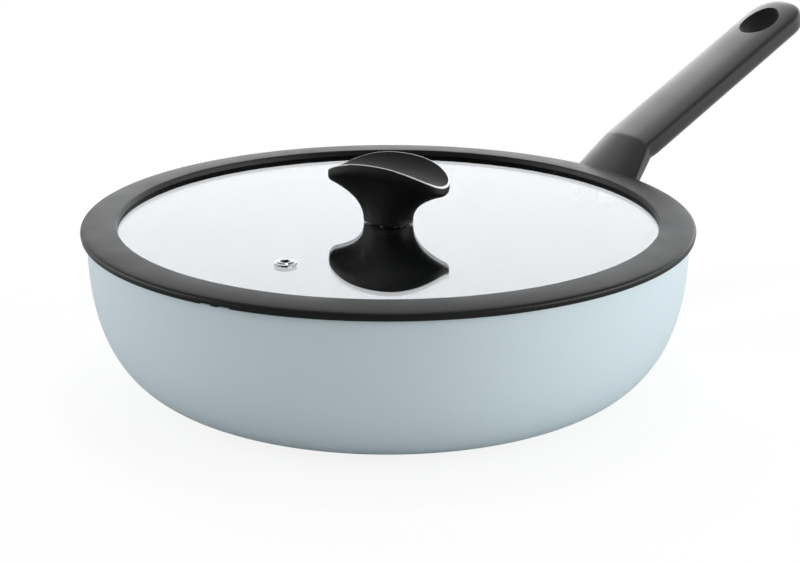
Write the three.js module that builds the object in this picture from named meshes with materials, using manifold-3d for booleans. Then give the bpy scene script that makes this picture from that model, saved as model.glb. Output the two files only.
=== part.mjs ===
// Deep flat-based pan with a riveted handle and a flat glass lid in a soft rim.
// Millimetres, +Z up. The origin is the centre of the base, on the surface that the pan stands on.
// The handle points along +X. The lid sits on the pan and lifts straight up.

import * as THREE from 'three';
import { mergeVertices } from 'three/addons/utils/BufferGeometryUtils.js';
import Module from 'manifold-3d';

const wasm = await Module();
wasm.setup();

// Clearances
const FIT_GAP = 0.3; // round a piece that fits in, passes through or is cut by its neighbour
const STACK_GAP = 0.05; // between flat faces stacked on one another

// Pan body
const RIM_RADIUS = 145.5;
const BASE_RADIUS = 90;
const PAN_HEIGHT = 78;
const WALL_THICKNESS = 3.5;
const FLOOR_THICKNESS = 5;
const WALL_ROUNDNESS = 2.5; // exponent of the superellipse that the wall follows, 2 is a plain quarter ellipse

// Steel plate in the base
const PLATE_RADIUS = 78;
const PLATE_THICKNESS = 1.2;
const PLATE_HOLE_RADIUS = 3.5;
const PLATE_HOLE_STEPS = 8;
const PLATE_HOLE_RINGS = [
  { count: 6, radius: 26 },
  { count: 12, radius: 52 },
];

// Lid glass and its soft rim
const GLASS_THICKNESS = 4;
const GLASS_RISE = 2; // top of the glass above the underside of the rim
const GLASS_GRIP = 7.2; // how far the rim reaches over the edge of the glass
const LID_OVERHANG = 3.3; // outer edge of the rim beyond the pan
const RIM_FACE_WIDTH = 17.4;
const RIM_CREST = 2.8; // inner edge of the rim above the glass
const RIM_SHOULDER = 1.4; // outer edge of the rim above the glass
const RIM_BEVEL = 0.9;
const RIM_UNDERCUT = 0.6; // how far the outer side leans in at its lower edge
const PLUG_DEPTH = 5; // lip that reaches down into the pan
const PLUG_THICKNESS = 4;
const PLUG_CLEARANCE = 0.8;
const NOTCH_WIDTH = 5.6;
const NOTCH_DEPTH = 0.6;
const NOTCH_PITCH = 9.8;
const NOTCH_TURN = -161.5; // degrees from the handle

// Steam vent
const VENT_REACH = 84; // from the middle of the lid
const VENT_TURN = -165; // degrees from the handle
const VENT_FLANGE_RADIUS = 5.4;
const VENT_TUBE_RADIUS = 3.1;
const VENT_BORE_RADIUS = 2.2;
const VENT_FLANGE_THICKNESS = 0.5;
const VENT_BEAD_HEIGHT = 1;
const VENT_ROLL_RADIUS = 4.6;
const VENT_WASHER_THICKNESS = 0.8;

// Knob and what holds it
const KNOB_TURN = -73; // degrees from the handle to the long axis of the knob
const KNOB_LENGTH = 64.6;
const KNOB_WIDTH = 31;
const KNOB_SIDE_HEIGHT = 30.9; // long edges, at their middle
const KNOB_TIP_HEIGHT = 21.5;
const KNOB_DISH = 6; // hollow across the top
const KNOB_EDGE = 4.8;
const KNOB_NECK_LENGTH = 24.4;
const KNOB_NECK_WIDTH = 19;
const KNOB_FLARE = 0.62; // share of the height over which the neck stays upright
const KNOB_ROUNDNESS = 2.45;
const GASKET_INSET = 1; // edge of the gasket inside the foot of the neck
const GASKET_THICKNESS = 0.5;
const BUSH_RADIUS = 5;
const BUSH_FLANGE_RADIUS = 9;
const BUSH_FLANGE_THICKNESS = 1.2;
const KNOB_WASHER_RADIUS = 8;
const KNOB_WASHER_THICKNESS = 1;
const SCREW_RADIUS = 2.5;
const SCREW_HEAD_RADIUS = 4.6;
const SCREW_HEAD_HEIGHT = 2.8;
const HEAD_CROWN = 0.85; // flat of a screw or rivet head, as a share of its radius
const INSERT_RADIUS = 4.2;
const INSERT_LENGTH = 14;
const SCREW_GRIP = 9; // thread inside the insert

// Handle
const BEND_REACH = 22.8; // bend beyond the rim of the pan
const BEND_RISE = 11.75; // bend above the rim of the pan
const GRIP_ANGLE = 24.5;
const GRIP_LENGTH = 142.65; // bend to tip
const GRIP_WIDTH = 32.6;
const GRIP_THICKNESS = 16.4;
const TOP_ROUNDNESS = 3.5; // exponents of the handle's section above and below its middle
const UNDER_ROUNDNESS = 2.8;
const COLLAR_ROUNDNESS = 1.87; // the same below the middle of the collar
const CROWN = 0.43; // fall of the crowned top to its edges, as a share of half the thickness
const COLLAR_WIDTH = 62.2; // at its root, inside the line of the wall
const COLLAR_TOP_DROP = 12.6; // root of the collar below the rim, upper and lower edge
const COLLAR_BOTTOM_DROP = 35.5;
const COLLAR_SINK = 10; // root inside the line of the wall, where the wall cuts it off
const COLLAR_KEEL = 0.44; // how much the collar narrows towards its underside, at its root and at the bend
const BEND_KEEL = 0.08;
const CREASE_SLIDE = 3.3; // crease of the bend further out at its top
const LID_CLEARANCE = 0.9; // collar to the rim of the lid
const HANG_HOLE_LENGTH = 26;
const HANG_HOLE_WIDTH = 20;
const HANG_HOLE_SETBACK = 25.6; // middle of the hole to the tip

// Bracket, rivets and screw inside the collar
const SADDLE_WIDTH = 28;
const SADDLE_HEIGHT = 11;
const SADDLE_THICKNESS = 2.5;
const TONGUE_WIDTH = 11;
const TONGUE_THICKNESS = 4;
const TONGUE_SETBACK = 6; // end of the tongue short of the bend
const RIVET_SPACING = 20;
const RIVET_RADIUS = 2.4;
const RIVET_HEAD_RADIUS = 5;
const RIVET_HEAD_HEIGHT = 1.8;
const RIVET_TAIL_RADIUS = 3.8;
const RIVET_TAIL_HEIGHT = 1.6;
const HANDLE_SCREW_SETBACK = 15; // from the bend, down the collar
const HANDLE_SCREW_WEB = 1.4; // plastic between the tongue and the washer
const HANDLE_WASHER_THICKNESS = 1;
const HANDLE_WASHER_RADIUS = 4.8;

// Facets
const TURN_STEPS = 64;
const SMALL_TURN_STEPS = 20;
const WALL_STEPS = 11;
const AROUND_STEPS = 32;

// Levels and places that follow from the sizes above
const LID_SEAT = PAN_HEIGHT + STACK_GAP;
const GLASS_TOP = LID_SEAT + GLASS_RISE;
const GLASS_BOTTOM = GLASS_TOP - GLASS_THICKNESS;
const LID_RADIUS = RIM_RADIUS + LID_OVERHANG;
const RIM_INNER_RADIUS = LID_RADIUS - RIM_FACE_WIDTH;
const GLASS_RADIUS = RIM_INNER_RADIUS + GLASS_GRIP;
const PLUG_RADIUS = RIM_RADIUS - WALL_THICKNESS - PLUG_CLEARANCE;
const KNOB_BASE = GLASS_TOP + GASKET_THICKNESS + 2 * STACK_GAP;
const BUSH_TOP = GLASS_TOP;
const BUSH_BOTTOM = GLASS_BOTTOM - STACK_GAP - BUSH_FLANGE_THICKNESS;
const KNOB_WASHER_TOP = BUSH_BOTTOM - STACK_GAP;
const KNOB_SCREW_SEAT = KNOB_WASHER_TOP - KNOB_WASHER_THICKNESS - STACK_GAP;
const BEND = new THREE.Vector3(RIM_RADIUS + BEND_REACH, 0, PAN_HEIGHT + BEND_RISE);
const COLLAR_ROOT = new THREE.Vector3(
  RIM_RADIUS - COLLAR_SINK,
  0,
  PAN_HEIGHT - (COLLAR_TOP_DROP + COLLAR_BOTTOM_DROP) / 2,
);
const COLLAR_RUN = BEND.clone().sub(COLLAR_ROOT);
const COLLAR_ANGLE = Math.atan2(COLLAR_RUN.z, COLLAR_RUN.x);
const GRIP_TILT = THREE.MathUtils.degToRad(GRIP_ANGLE);
const GRIP_ALONG = new THREE.Vector3(Math.cos(GRIP_TILT), 0, Math.sin(GRIP_TILT));
const SADDLE_RADIUS = RIM_RADIUS + FIT_GAP + SADDLE_THICKNESS;
const SADDLE_LEVEL = COLLAR_ROOT.z + COLLAR_SINK * Math.tan(COLLAR_ANGLE);
const RIVET_TURN = Math.asin(RIVET_SPACING / 2 / RIM_RADIUS);

// Geometry helpers

// Closed mesh with shared corners, no collapsed triangles and faces that point out.
function closed(geometry) {
  const bare = geometry.clone();
  bare.deleteAttribute('normal');
  bare.deleteAttribute('uv');
  const merged = mergeVertices(bare, 1e-5);
  const source = merged.index.array;
  const corners = [];
  for (let i = 0; i < source.length; i += 3) {
    const [a, b, c] = [source[i], source[i + 1], source[i + 2]];
    if (a !== b && b !== c && c !== a) corners.push(a, b, c);
  }
  merged.setIndex(corners);
  if (signedVolume(merged) < 0) merged.setIndex(corners.reverse());
  return merged;
}

function signedVolume(geometry) {
  const place = geometry.attributes.position;
  const corners = geometry.index.array;
  const [a, b, c] = [new THREE.Vector3(), new THREE.Vector3(), new THREE.Vector3()];
  let sum = 0;
  for (let i = 0; i < corners.length; i += 3) {
    a.fromBufferAttribute(place, corners[i]);
    b.fromBufferAttribute(place, corners[i + 1]);
    c.fromBufferAttribute(place, corners[i + 2]);
    sum += a.dot(b.cross(c)) / 6;
  }
  return sum;
}

function toSolid(geometry) {
  const body = closed(geometry);
  const mesh = new wasm.Mesh({
    numProp: 3,
    vertProperties: new Float32Array(body.attributes.position.array),
    triVerts: new Uint32Array(body.index.array),
  });
  return new wasm.Manifold(mesh);
}

function toGeometry(solid) {
  const mesh = solid.getMesh();
  const geometry = new THREE.BufferGeometry();
  geometry.setAttribute('position', new THREE.BufferAttribute(mesh.vertProperties, 3));
  geometry.setIndex(new THREE.BufferAttribute(mesh.triVerts, 1));
  return geometry;
}

function cut(body, ...tools) {
  return toGeometry(tools.reduce((solid, tool) => solid.subtract(toSolid(tool)), toSolid(body)));
}

function join(body, ...others) {
  return toGeometry(others.reduce((solid, other) => solid.add(toSolid(other)), toSolid(body)));
}

function overlap(body, other) {
  return toGeometry(toSolid(body).intersect(toSolid(other)));
}

// Body of revolution about Z from [radius, height] pairs. A profile that leaves the axis closes on itself.
function turned(profile, steps = TURN_STEPS) {
  const points = profile.map(([radius, height]) => new THREE.Vector2(radius, height));
  if (points[0].x > 0) points.push(points[0].clone());
  return closed(new THREE.LatheGeometry(points, steps).rotateX(Math.PI / 2));
}

function disc(radius, bottom, top, steps = TURN_STEPS) {
  return turned([[0, bottom], [radius, bottom], [radius, top], [0, top]], steps);
}

function ring(inner, outer, bottom, top, steps = SMALL_TURN_STEPS) {
  return turned([[inner, bottom], [outer, bottom], [outer, top], [inner, top]], steps);
}

function block(width, depth, height, x, y, z) {
  return new THREE.BoxGeometry(width, depth, height).translate(x, y, z);
}

// Skin over a row of rings with equal numbers of points, closed by a fan at each end.
function lofted(rings) {
  const count = rings[0].length;
  const middle = (points) => points.reduce((sum, p) => sum.add(p), new THREE.Vector3()).divideScalar(count);
  const points = [...rings.flat(), middle(rings[0]), middle(rings.at(-1))];
  const corners = [];
  const last = (rings.length - 1) * count;
  for (let i = 0; i < count; i += 1) {
    const next = (i + 1) % count;
    for (let row = 0; row < last; row += count) {
      corners.push(row + i, row + next, row + count + next);
      corners.push(row + i, row + count + next, row + count + i);
    }
    corners.push(next, i, points.length - 2);
    corners.push(last + i, last + next, points.length - 1);
  }
  const geometry = new THREE.BufferGeometry().setFromPoints(points);
  geometry.setIndex(corners);
  return closed(geometry);
}

function signedPower(value, exponent) {
  return Math.sign(value) * Math.abs(value) ** exponent;
}

// Pan wall: a superellipse from the foot of the wall to the rim, in or out by a distance.
function wallPoints(floor, offset) {
  const reach = RIM_RADIUS - BASE_RADIUS;
  const power = 2 / WALL_ROUNDNESS;
  return Array.from({ length: WALL_STEPS + 1 }, (_, i) => {
    const angle = (i / WALL_STEPS) * (Math.PI / 2);
    const radius = BASE_RADIUS + offset + reach * signedPower(Math.sin(angle), power);
    const height = PAN_HEIGHT - (PAN_HEIGHT - floor) * signedPower(Math.cos(angle), power);
    return [radius, height];
  });
}

function radial(geometry, turn, reach, height) {
  return geometry.clone().rotateY(Math.PI / 2).translate(reach, 0, height).rotateZ(turn);
}

// Solids that stand for a space: what the pan, its wall and the lifting lid take up, with clearance.
const outsideOfPan = turned([
  [0, 0],
  ...wallPoints(0, FIT_GAP),
  [0, PAN_HEIGHT],
]);
const wallWithGap = turned([
  ...wallPoints(0, FIT_GAP),
  ...wallPoints(FLOOR_THICKNESS, -WALL_THICKNESS - FIT_GAP).reverse(),
]);
const LID_PATH_TOP = BEND.z + GRIP_LENGTH;
const lidPath = disc(LID_RADIUS + LID_CLEARANCE, PAN_HEIGHT - FIT_GAP, LID_PATH_TOP);

// Pan body with the recess for the plate and the rivet holes
function panBody() {
  const recess = PLATE_THICKNESS + STACK_GAP;
  const bowl = turned([
    [0, recess],
    [PLATE_RADIUS + FIT_GAP, recess],
    [PLATE_RADIUS + FIT_GAP, 0],
    ...wallPoints(0, 0),
    ...wallPoints(FLOOR_THICKNESS, -WALL_THICKNESS).reverse(),
    [0, FLOOR_THICKNESS],
  ]);
  return cut(bowl, ...rivetTurns.map((turn) => rivetHole(turn)));
}

function inductionPlate() {
  const holes = PLATE_HOLE_RINGS.flatMap(({ count, radius }) =>
    Array.from({ length: count }, (_, i) =>
      disc(PLATE_HOLE_RADIUS, -PLATE_THICKNESS, 2 * PLATE_THICKNESS, PLATE_HOLE_STEPS)
        .translate(radius, 0, 0)
        .rotateZ((i / count) * 2 * Math.PI),
    ),
  );
  return cut(disc(PLATE_RADIUS, 0, PLATE_THICKNESS), ...holes);
}

// Rivets: a shank along the radius of the pan, a head inside it and an upset tail on the saddle
const rivetTurns = [RIVET_TURN, -RIVET_TURN];

function rivetHole(turn) {
  const length = 4 * (WALL_THICKNESS + SADDLE_THICKNESS);
  const bore = disc(RIVET_RADIUS + FIT_GAP, -length / 2, length / 2, SMALL_TURN_STEPS);
  return radial(bore, turn, RIM_RADIUS, SADDLE_LEVEL);
}

function rivetTailSpace(turn) {
  const depth = SADDLE_THICKNESS + RIVET_TAIL_HEIGHT + 2 * FIT_GAP;
  const space = disc(RIVET_TAIL_RADIUS + FIT_GAP, 0, depth, SMALL_TURN_STEPS);
  return radial(space, turn, SADDLE_RADIUS - SADDLE_THICKNESS, SADDLE_LEVEL);
}

function wallRadius(height, floor, offset) {
  const share = ((PAN_HEIGHT - height) / (PAN_HEIGHT - floor)) ** WALL_ROUNDNESS;
  return BASE_RADIUS + offset + (RIM_RADIUS - BASE_RADIUS) * (1 - share) ** (1 / WALL_ROUNDNESS);
}

function rivet(turn) {
  const inside = wallRadius(SADDLE_LEVEL, FLOOR_THICKNESS, -WALL_THICKNESS) - RIM_RADIUS;
  const outside = SADDLE_RADIUS - RIM_RADIUS;
  const headFace = inside - FIT_GAP - RIVET_HEAD_HEIGHT;
  const tailFace = outside + FIT_GAP + RIVET_TAIL_HEIGHT;
  const head = turned(
    [
      [0, headFace],
      [RIVET_HEAD_RADIUS * HEAD_CROWN, headFace],
      [RIVET_HEAD_RADIUS, headFace + RIVET_HEAD_HEIGHT / 2],
      [RIVET_HEAD_RADIUS, inside + WALL_THICKNESS / 2],
      [0, inside + WALL_THICKNESS / 2],
    ],
    SMALL_TURN_STEPS,
  );
  const tail = disc(RIVET_TAIL_RADIUS, outside - SADDLE_THICKNESS / 2, tailFace, SMALL_TURN_STEPS);
  const shank = disc(RIVET_RADIUS, headFace + RIVET_HEAD_HEIGHT / 2, tailFace - RIVET_TAIL_HEIGHT / 2, SMALL_TURN_STEPS);
  const place = (piece) => radial(piece, turn, RIM_RADIUS, SADDLE_LEVEL);
  const saddleSpace = disc(SADDLE_RADIUS + FIT_GAP, 0, LID_PATH_TOP);
  return join(place(shank), cut(place(head), wallWithGap), cut(place(tail), saddleSpace));
}

// Bracket: a saddle bent to the wall and a tongue that follows the collar
function collarFrame() {
  return new THREE.Matrix4().makeRotationY(-COLLAR_ANGLE).setPosition(BEND);
}

function tongue(gap) {
  const start = -COLLAR_RUN.length() + COLLAR_SINK;
  const end = -TONGUE_SETBACK + gap;
  const bar = block(end - start, TONGUE_WIDTH + 2 * gap, TONGUE_THICKNESS + 2 * gap, (start + end) / 2, 0, 0);
  return bar.applyMatrix4(collarFrame());
}

function saddle(gap) {
  const reach = SADDLE_RADIUS + gap;
  const window = block(reach, SADDLE_WIDTH + 2 * gap, SADDLE_HEIGHT + 2 * gap, reach / 2, 0, SADDLE_LEVEL);
  return overlap(disc(reach, 0, LID_PATH_TOP), window.translate(reach / 4, 0, 0));
}

function handleScrewSpace(radius, bottom, top) {
  const bore = disc(radius, bottom, top, SMALL_TURN_STEPS);
  return bore.translate(-HANDLE_SCREW_SETBACK, 0, 0).applyMatrix4(collarFrame());
}

function handleBracket() {
  const bracket = join(saddle(0), tongue(0));
  const thread = handleScrewSpace(SCREW_RADIUS + FIT_GAP, -TONGUE_THICKNESS, TONGUE_THICKNESS);
  return cut(bracket, outsideOfPan, thread, ...rivetTurns.map((turn) => rivetHole(turn)));
}

// Handle: rings along the collar and the grip, square to the grip and mitred at the bend.
// Each ring is boxy below a crowned top, rounded underneath and narrowed downwards by the keel.
// At the bend its upper half slides out along the grip.
function handleRing(middle, up, halfWidth, halfHeight, { keel = 0, under = UNDER_ROUNDNESS, slide = 0 } = {}) {
  return Array.from({ length: AROUND_STEPS }, (_, i) => {
    const angle = (i / AROUND_STEPS) * 2 * Math.PI;
    const power = 2 / (Math.sin(angle) > 0 ? TOP_ROUNDNESS : under);
    const depth = (1 - Math.sin(angle)) / 2;
    const reach = signedPower(Math.cos(angle), power);
    const across = halfWidth * reach * (1 - keel * depth ** 2);
    const rise = Math.min(signedPower(Math.sin(angle), power), 1 - CROWN * reach ** 2);
    return new THREE.Vector3(0, across, 0)
      .add(middle)
      .addScaledVector(up, halfHeight * rise)
      .addScaledVector(GRIP_ALONG, slide * Math.max(rise, 0));
  });
}

function handleOutline() {
  const halfWidth = GRIP_WIDTH / 2;
  const halfHeight = GRIP_THICKNESS / 2;
  const up = new THREE.Vector3(-Math.sin(GRIP_TILT), 0, Math.cos(GRIP_TILT));
  const mitre = (COLLAR_ANGLE + GRIP_TILT) / 2;
  const mitreUp = new THREE.Vector3(-Math.sin(mitre), 0, Math.cos(mitre));
  const mitreHeight = halfHeight / Math.cos(mitre - GRIP_TILT);
  const rootHeight = (COLLAR_BOTTOM_DROP - COLLAR_TOP_DROP) / 2;
  const collarSteps = [0, 0.5];
  const collar = collarSteps.map((share) => {
    const middle = COLLAR_ROOT.clone().addScaledVector(COLLAR_RUN, share);
    const lean = new THREE.Vector3(0, 0, 1).lerp(mitreUp, share).normalize();
    const width = THREE.MathUtils.lerp(COLLAR_WIDTH / 2, halfWidth, share);
    const height = THREE.MathUtils.lerp(rootHeight, mitreHeight, share);
    return handleRing(middle, lean, width, height, { keel: COLLAR_KEEL, under: COLLAR_ROUNDNESS });
  });
  const bend = handleRing(BEND, mitreUp, halfWidth, mitreHeight, { keel: BEND_KEEL, slide: CREASE_SLIDE });
  const straight = GRIP_LENGTH - halfWidth;
  const gripSteps = [halfHeight, straight / 2, straight];
  const grip = gripSteps.map((reach) => {
    const middle = BEND.clone().addScaledVector(GRIP_ALONG, reach);
    return handleRing(middle, up, halfWidth, halfHeight);
  });
  const tipSteps = [0.4, 0.65, 0.83, 0.94, 0.99];
  const tip = tipSteps.map((share) => {
    const middle = BEND.clone().addScaledVector(GRIP_ALONG, straight + share * halfWidth);
    const width = halfWidth * Math.sqrt(1 - share ** 2);
    const height = halfHeight * Math.sqrt(1 - share ** 4);
    return handleRing(middle, up, width, height);
  });
  return lofted([...collar, bend, ...grip, ...tip]);
}

function hangingHole() {
  const oval = new THREE.Shape();
  oval.absellipse(0, 0, HANG_HOLE_LENGTH / 2, HANG_HOLE_WIDTH / 2, 0, 2 * Math.PI);
  const depth = 2 * GRIP_THICKNESS;
  const bore = new THREE.ExtrudeGeometry(oval, { depth, bevelEnabled: false, curveSegments: SMALL_TURN_STEPS });
  return bore
    .translate(GRIP_LENGTH - HANG_HOLE_SETBACK, 0, -depth / 2)
    .rotateY(-GRIP_TILT)
    .translate(BEND.x, BEND.y, BEND.z);
}

// Levels of the handle's screw, measured from the middle of the tongue along the screw
const SCREW_TIP = TONGUE_THICKNESS / 2;
const WASHER_TOP = -TONGUE_THICKNESS / 2 - FIT_GAP - HANDLE_SCREW_WEB - FIT_GAP;
const WASHER_BOTTOM = WASHER_TOP - HANDLE_WASHER_THICKNESS;
const HEAD_TOP = WASHER_BOTTOM - FIT_GAP;
const HEAD_BOTTOM = HEAD_TOP - SCREW_HEAD_HEIGHT;

function handleGrip() {
  const recessRadius = Math.max(HANDLE_WASHER_RADIUS, SCREW_HEAD_RADIUS) + FIT_GAP;
  const recess = handleScrewSpace(recessRadius, -COLLAR_BOTTOM_DROP, WASHER_TOP + FIT_GAP);
  const bore = handleScrewSpace(SCREW_RADIUS + FIT_GAP, WASHER_TOP, 0);
  return cut(
    handleOutline(),
    outsideOfPan,
    lidPath,
    saddle(FIT_GAP),
    ...rivetTurns.map((turn) => rivetTailSpace(turn)),
    tongue(FIT_GAP),
    bore,
    recess,
    hangingHole(),
  );
}

function handleScrew() {
  return turned(
    [
      [0, HEAD_BOTTOM],
      [SCREW_HEAD_RADIUS * HEAD_CROWN, HEAD_BOTTOM],
      [SCREW_HEAD_RADIUS, HEAD_BOTTOM + SCREW_HEAD_HEIGHT / 2],
      [SCREW_HEAD_RADIUS, HEAD_TOP],
      [SCREW_RADIUS, HEAD_TOP],
      [SCREW_RADIUS, SCREW_TIP],
      [0, SCREW_TIP],
    ],
    SMALL_TURN_STEPS,
  );
}

function handleScrewWasher() {
  return ring(SCREW_RADIUS + FIT_GAP, HANDLE_WASHER_RADIUS, WASHER_BOTTOM, WASHER_TOP);
}

// Lid glass with the holes for the knob's bush and the vent
function lidGlass() {
  const plain = disc(GLASS_RADIUS, GLASS_BOTTOM, GLASS_TOP);
  const drill = (radius) => disc(radius, GLASS_BOTTOM - GLASS_THICKNESS, GLASS_TOP + GLASS_THICKNESS, SMALL_TURN_STEPS);
  const vent = drill(VENT_TUBE_RADIUS + FIT_GAP).translate(VENT_PLACE.x, VENT_PLACE.y, 0);
  return cut(plain, drill(BUSH_RADIUS + FIT_GAP), vent);
}

// Soft rim: a channel round the edge of the glass, a crowned face above and a lip that enters the pan
function lidRim() {
  const grooveTop = GLASS_TOP + STACK_GAP;
  const grooveBottom = GLASS_BOTTOM - STACK_GAP;
  const grooveRadius = GLASS_RADIUS + FIT_GAP;
  const crest = GLASS_TOP + RIM_CREST;
  const shoulder = GLASS_TOP + RIM_SHOULDER;
  const lipBottom = LID_SEAT - PLUG_DEPTH;
  const profile = turned([
    [RIM_INNER_RADIUS - RIM_BEVEL, grooveTop],
    [RIM_INNER_RADIUS - RIM_BEVEL / 2, crest - RIM_BEVEL],
    [RIM_INNER_RADIUS + RIM_BEVEL / 2, crest],
    [LID_RADIUS - RIM_FACE_WIDTH / 2, crest - (crest - shoulder) / 4],
    [LID_RADIUS - RIM_BEVEL, shoulder],
    [LID_RADIUS, shoulder - RIM_BEVEL],
    [LID_RADIUS - RIM_UNDERCUT, LID_SEAT],
    [PLUG_RADIUS, LID_SEAT],
    [PLUG_RADIUS, lipBottom + RIM_BEVEL],
    [PLUG_RADIUS - RIM_BEVEL, lipBottom],
    [PLUG_RADIUS - PLUG_THICKNESS, lipBottom],
    [RIM_INNER_RADIUS - RIM_BEVEL, (lipBottom + grooveBottom) / 2],
    [RIM_INNER_RADIUS - RIM_BEVEL, grooveBottom],
    [grooveRadius, grooveBottom],
    [grooveRadius, grooveTop],
  ]);
  const reach = LID_RADIUS - PLUG_RADIUS;
  const turnStep = NOTCH_PITCH / LID_RADIUS;
  const notches = [-turnStep / 2, turnStep / 2].map((turn) =>
    block(reach, NOTCH_WIDTH, 2 * NOTCH_DEPTH, PLUG_RADIUS + FIT_GAP + reach / 2, 0, LID_SEAT).rotateZ(
      THREE.MathUtils.degToRad(NOTCH_TURN) + turn,
    ),
  );
  return cut(profile, ...notches);
}

const VENT_PLACE = new THREE.Vector3(VENT_REACH, 0, 0).applyAxisAngle(
  new THREE.Vector3(0, 0, 1),
  THREE.MathUtils.degToRad(VENT_TURN),
);

// Eyelet: a flange and a raised bead on the glass, a tube through it and a flange rolled out below
function ventEyelet() {
  const flangeBottom = GLASS_TOP + STACK_GAP;
  const flangeTop = flangeBottom + VENT_FLANGE_THICKNESS;
  const rollTop = GLASS_BOTTOM - VENT_WASHER_THICKNESS - 2 * STACK_GAP;
  const rollBottom = rollTop - VENT_FLANGE_THICKNESS;
  return turned(
    [
      [VENT_BORE_RADIUS, rollBottom],
      [VENT_ROLL_RADIUS, rollBottom],
      [VENT_ROLL_RADIUS, rollTop],
      [VENT_TUBE_RADIUS, rollTop],
      [VENT_TUBE_RADIUS, flangeBottom],
      [VENT_FLANGE_RADIUS, flangeBottom],
      [VENT_FLANGE_RADIUS, flangeTop],
      [VENT_TUBE_RADIUS, flangeTop],
      [(VENT_TUBE_RADIUS + VENT_BORE_RADIUS) / 2, flangeBottom + VENT_BEAD_HEIGHT],
      [VENT_BORE_RADIUS, flangeTop],
    ],
    SMALL_TURN_STEPS,
  ).translate(VENT_PLACE.x, VENT_PLACE.y, 0);
}

function ventWasher() {
  const top = GLASS_BOTTOM - STACK_GAP;
  const washer = ring(VENT_TUBE_RADIUS + FIT_GAP, VENT_FLANGE_RADIUS, top - VENT_WASHER_THICKNESS, top);
  return washer.translate(VENT_PLACE.x, VENT_PLACE.y, 0);
}

// Knob: an oval neck that flares into a saddle, high along both long edges and low at the tips
function knobOval(length, width, angle) {
  const power = 2 / KNOB_ROUNDNESS;
  return new THREE.Vector2(
    (length / 2) * signedPower(Math.cos(angle), power),
    (width / 2) * signedPower(Math.sin(angle), power),
  );
}

function knobTop(x, y) {
  const middle = KNOB_SIDE_HEIGHT - KNOB_DISH;
  const fall = (middle - KNOB_TIP_HEIGHT) * ((2 * x) / KNOB_LENGTH) ** 2;
  return middle - fall + KNOB_DISH * ((2 * y) / KNOB_WIDTH) ** 2;
}

function lidKnob() {
  const angles = Array.from({ length: AROUND_STEPS }, (_, i) => (i / AROUND_STEPS) * 2 * Math.PI);
  const rims = angles.map((angle) => knobOval(KNOB_LENGTH, KNOB_WIDTH, angle));
  const necks = angles.map((angle) => knobOval(KNOB_NECK_LENGTH, KNOB_NECK_WIDTH, angle));
  const underSteps = [0, 0.2, 0.4, 0.6, 0.8, 1];
  const under = underSteps.map((t) =>
    angles.map((_, i) => {
      const height = knobTop(rims[i].x, rims[i].y) - KNOB_EDGE;
      const flat = necks[i].clone().lerp(rims[i], t * t);
      return new THREE.Vector3(flat.x, flat.y, height * (2 * t * (1 - t) * KNOB_FLARE + t * t));
    }),
  );
  const topSteps = [1, 0.94, 0.66, 0.33];
  const top = topSteps.map((share, row) =>
    rims.map((rim) => {
      const flat = rim.clone().multiplyScalar(share);
      const edge = row === 0 ? KNOB_EDGE / 6 : 0;
      return new THREE.Vector3(flat.x, flat.y, knobTop(flat.x, flat.y) - edge);
    }),
  );
  const bore = disc(INSERT_RADIUS + FIT_GAP, -INSERT_LENGTH, INSERT_LENGTH + 2 * FIT_GAP, SMALL_TURN_STEPS);
  return cut(lofted([...under, ...top]), bore);
}

function knobInsert() {
  return ring(SCREW_RADIUS + FIT_GAP, INSERT_RADIUS, STACK_GAP, INSERT_LENGTH);
}

// Oval gasket under the foot of the neck, in the lid's frame
function knobGasket() {
  const angles = Array.from({ length: AROUND_STEPS }, (_, i) => (i / AROUND_STEPS) * 2 * Math.PI);
  const rings = [GLASS_TOP + STACK_GAP, KNOB_BASE - STACK_GAP].map((level) =>
    angles.map((angle) => {
      const flat = knobOval(KNOB_NECK_LENGTH - 2 * GASKET_INSET, KNOB_NECK_WIDTH - 2 * GASKET_INSET, angle);
      return new THREE.Vector3(flat.x, flat.y, level);
    }),
  );
  const bore = disc(SCREW_RADIUS + FIT_GAP, GLASS_BOTTOM, KNOB_BASE + GLASS_THICKNESS, SMALL_TURN_STEPS);
  return cut(lofted(rings), bore).rotateZ(THREE.MathUtils.degToRad(KNOB_TURN));
}

function glassBush() {
  const bore = SCREW_RADIUS + FIT_GAP;
  const flangeTop = GLASS_BOTTOM - STACK_GAP;
  return turned(
    [
      [bore, BUSH_BOTTOM],
      [BUSH_FLANGE_RADIUS, BUSH_BOTTOM],
      [BUSH_FLANGE_RADIUS, flangeTop],
      [BUSH_RADIUS, flangeTop],
      [BUSH_RADIUS, BUSH_TOP],
      [bore, BUSH_TOP],
    ],
    SMALL_TURN_STEPS,
  );
}

function knobScrewWasher() {
  const bottom = KNOB_WASHER_TOP - KNOB_WASHER_THICKNESS;
  return ring(SCREW_RADIUS + FIT_GAP, KNOB_WASHER_RADIUS, bottom, KNOB_WASHER_TOP);
}

function knobScrew() {
  const bottom = KNOB_SCREW_SEAT - SCREW_HEAD_HEIGHT;
  const tip = KNOB_BASE + SCREW_GRIP;
  return turned(
    [
      [0, bottom],
      [SCREW_HEAD_RADIUS * HEAD_CROWN, bottom],
      [SCREW_HEAD_RADIUS, bottom + SCREW_HEAD_HEIGHT / 2],
      [SCREW_HEAD_RADIUS, KNOB_SCREW_SEAT],
      [SCREW_RADIUS, KNOB_SCREW_SEAT],
      [SCREW_RADIUS, tip],
      [0, tip],
    ],
    SMALL_TURN_STEPS,
  );
}

// Finishes
function finish(color, roughness, metalness, more = {}) {
  return new THREE.MeshStandardMaterial({ color, roughness, metalness, ...more });
}

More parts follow.
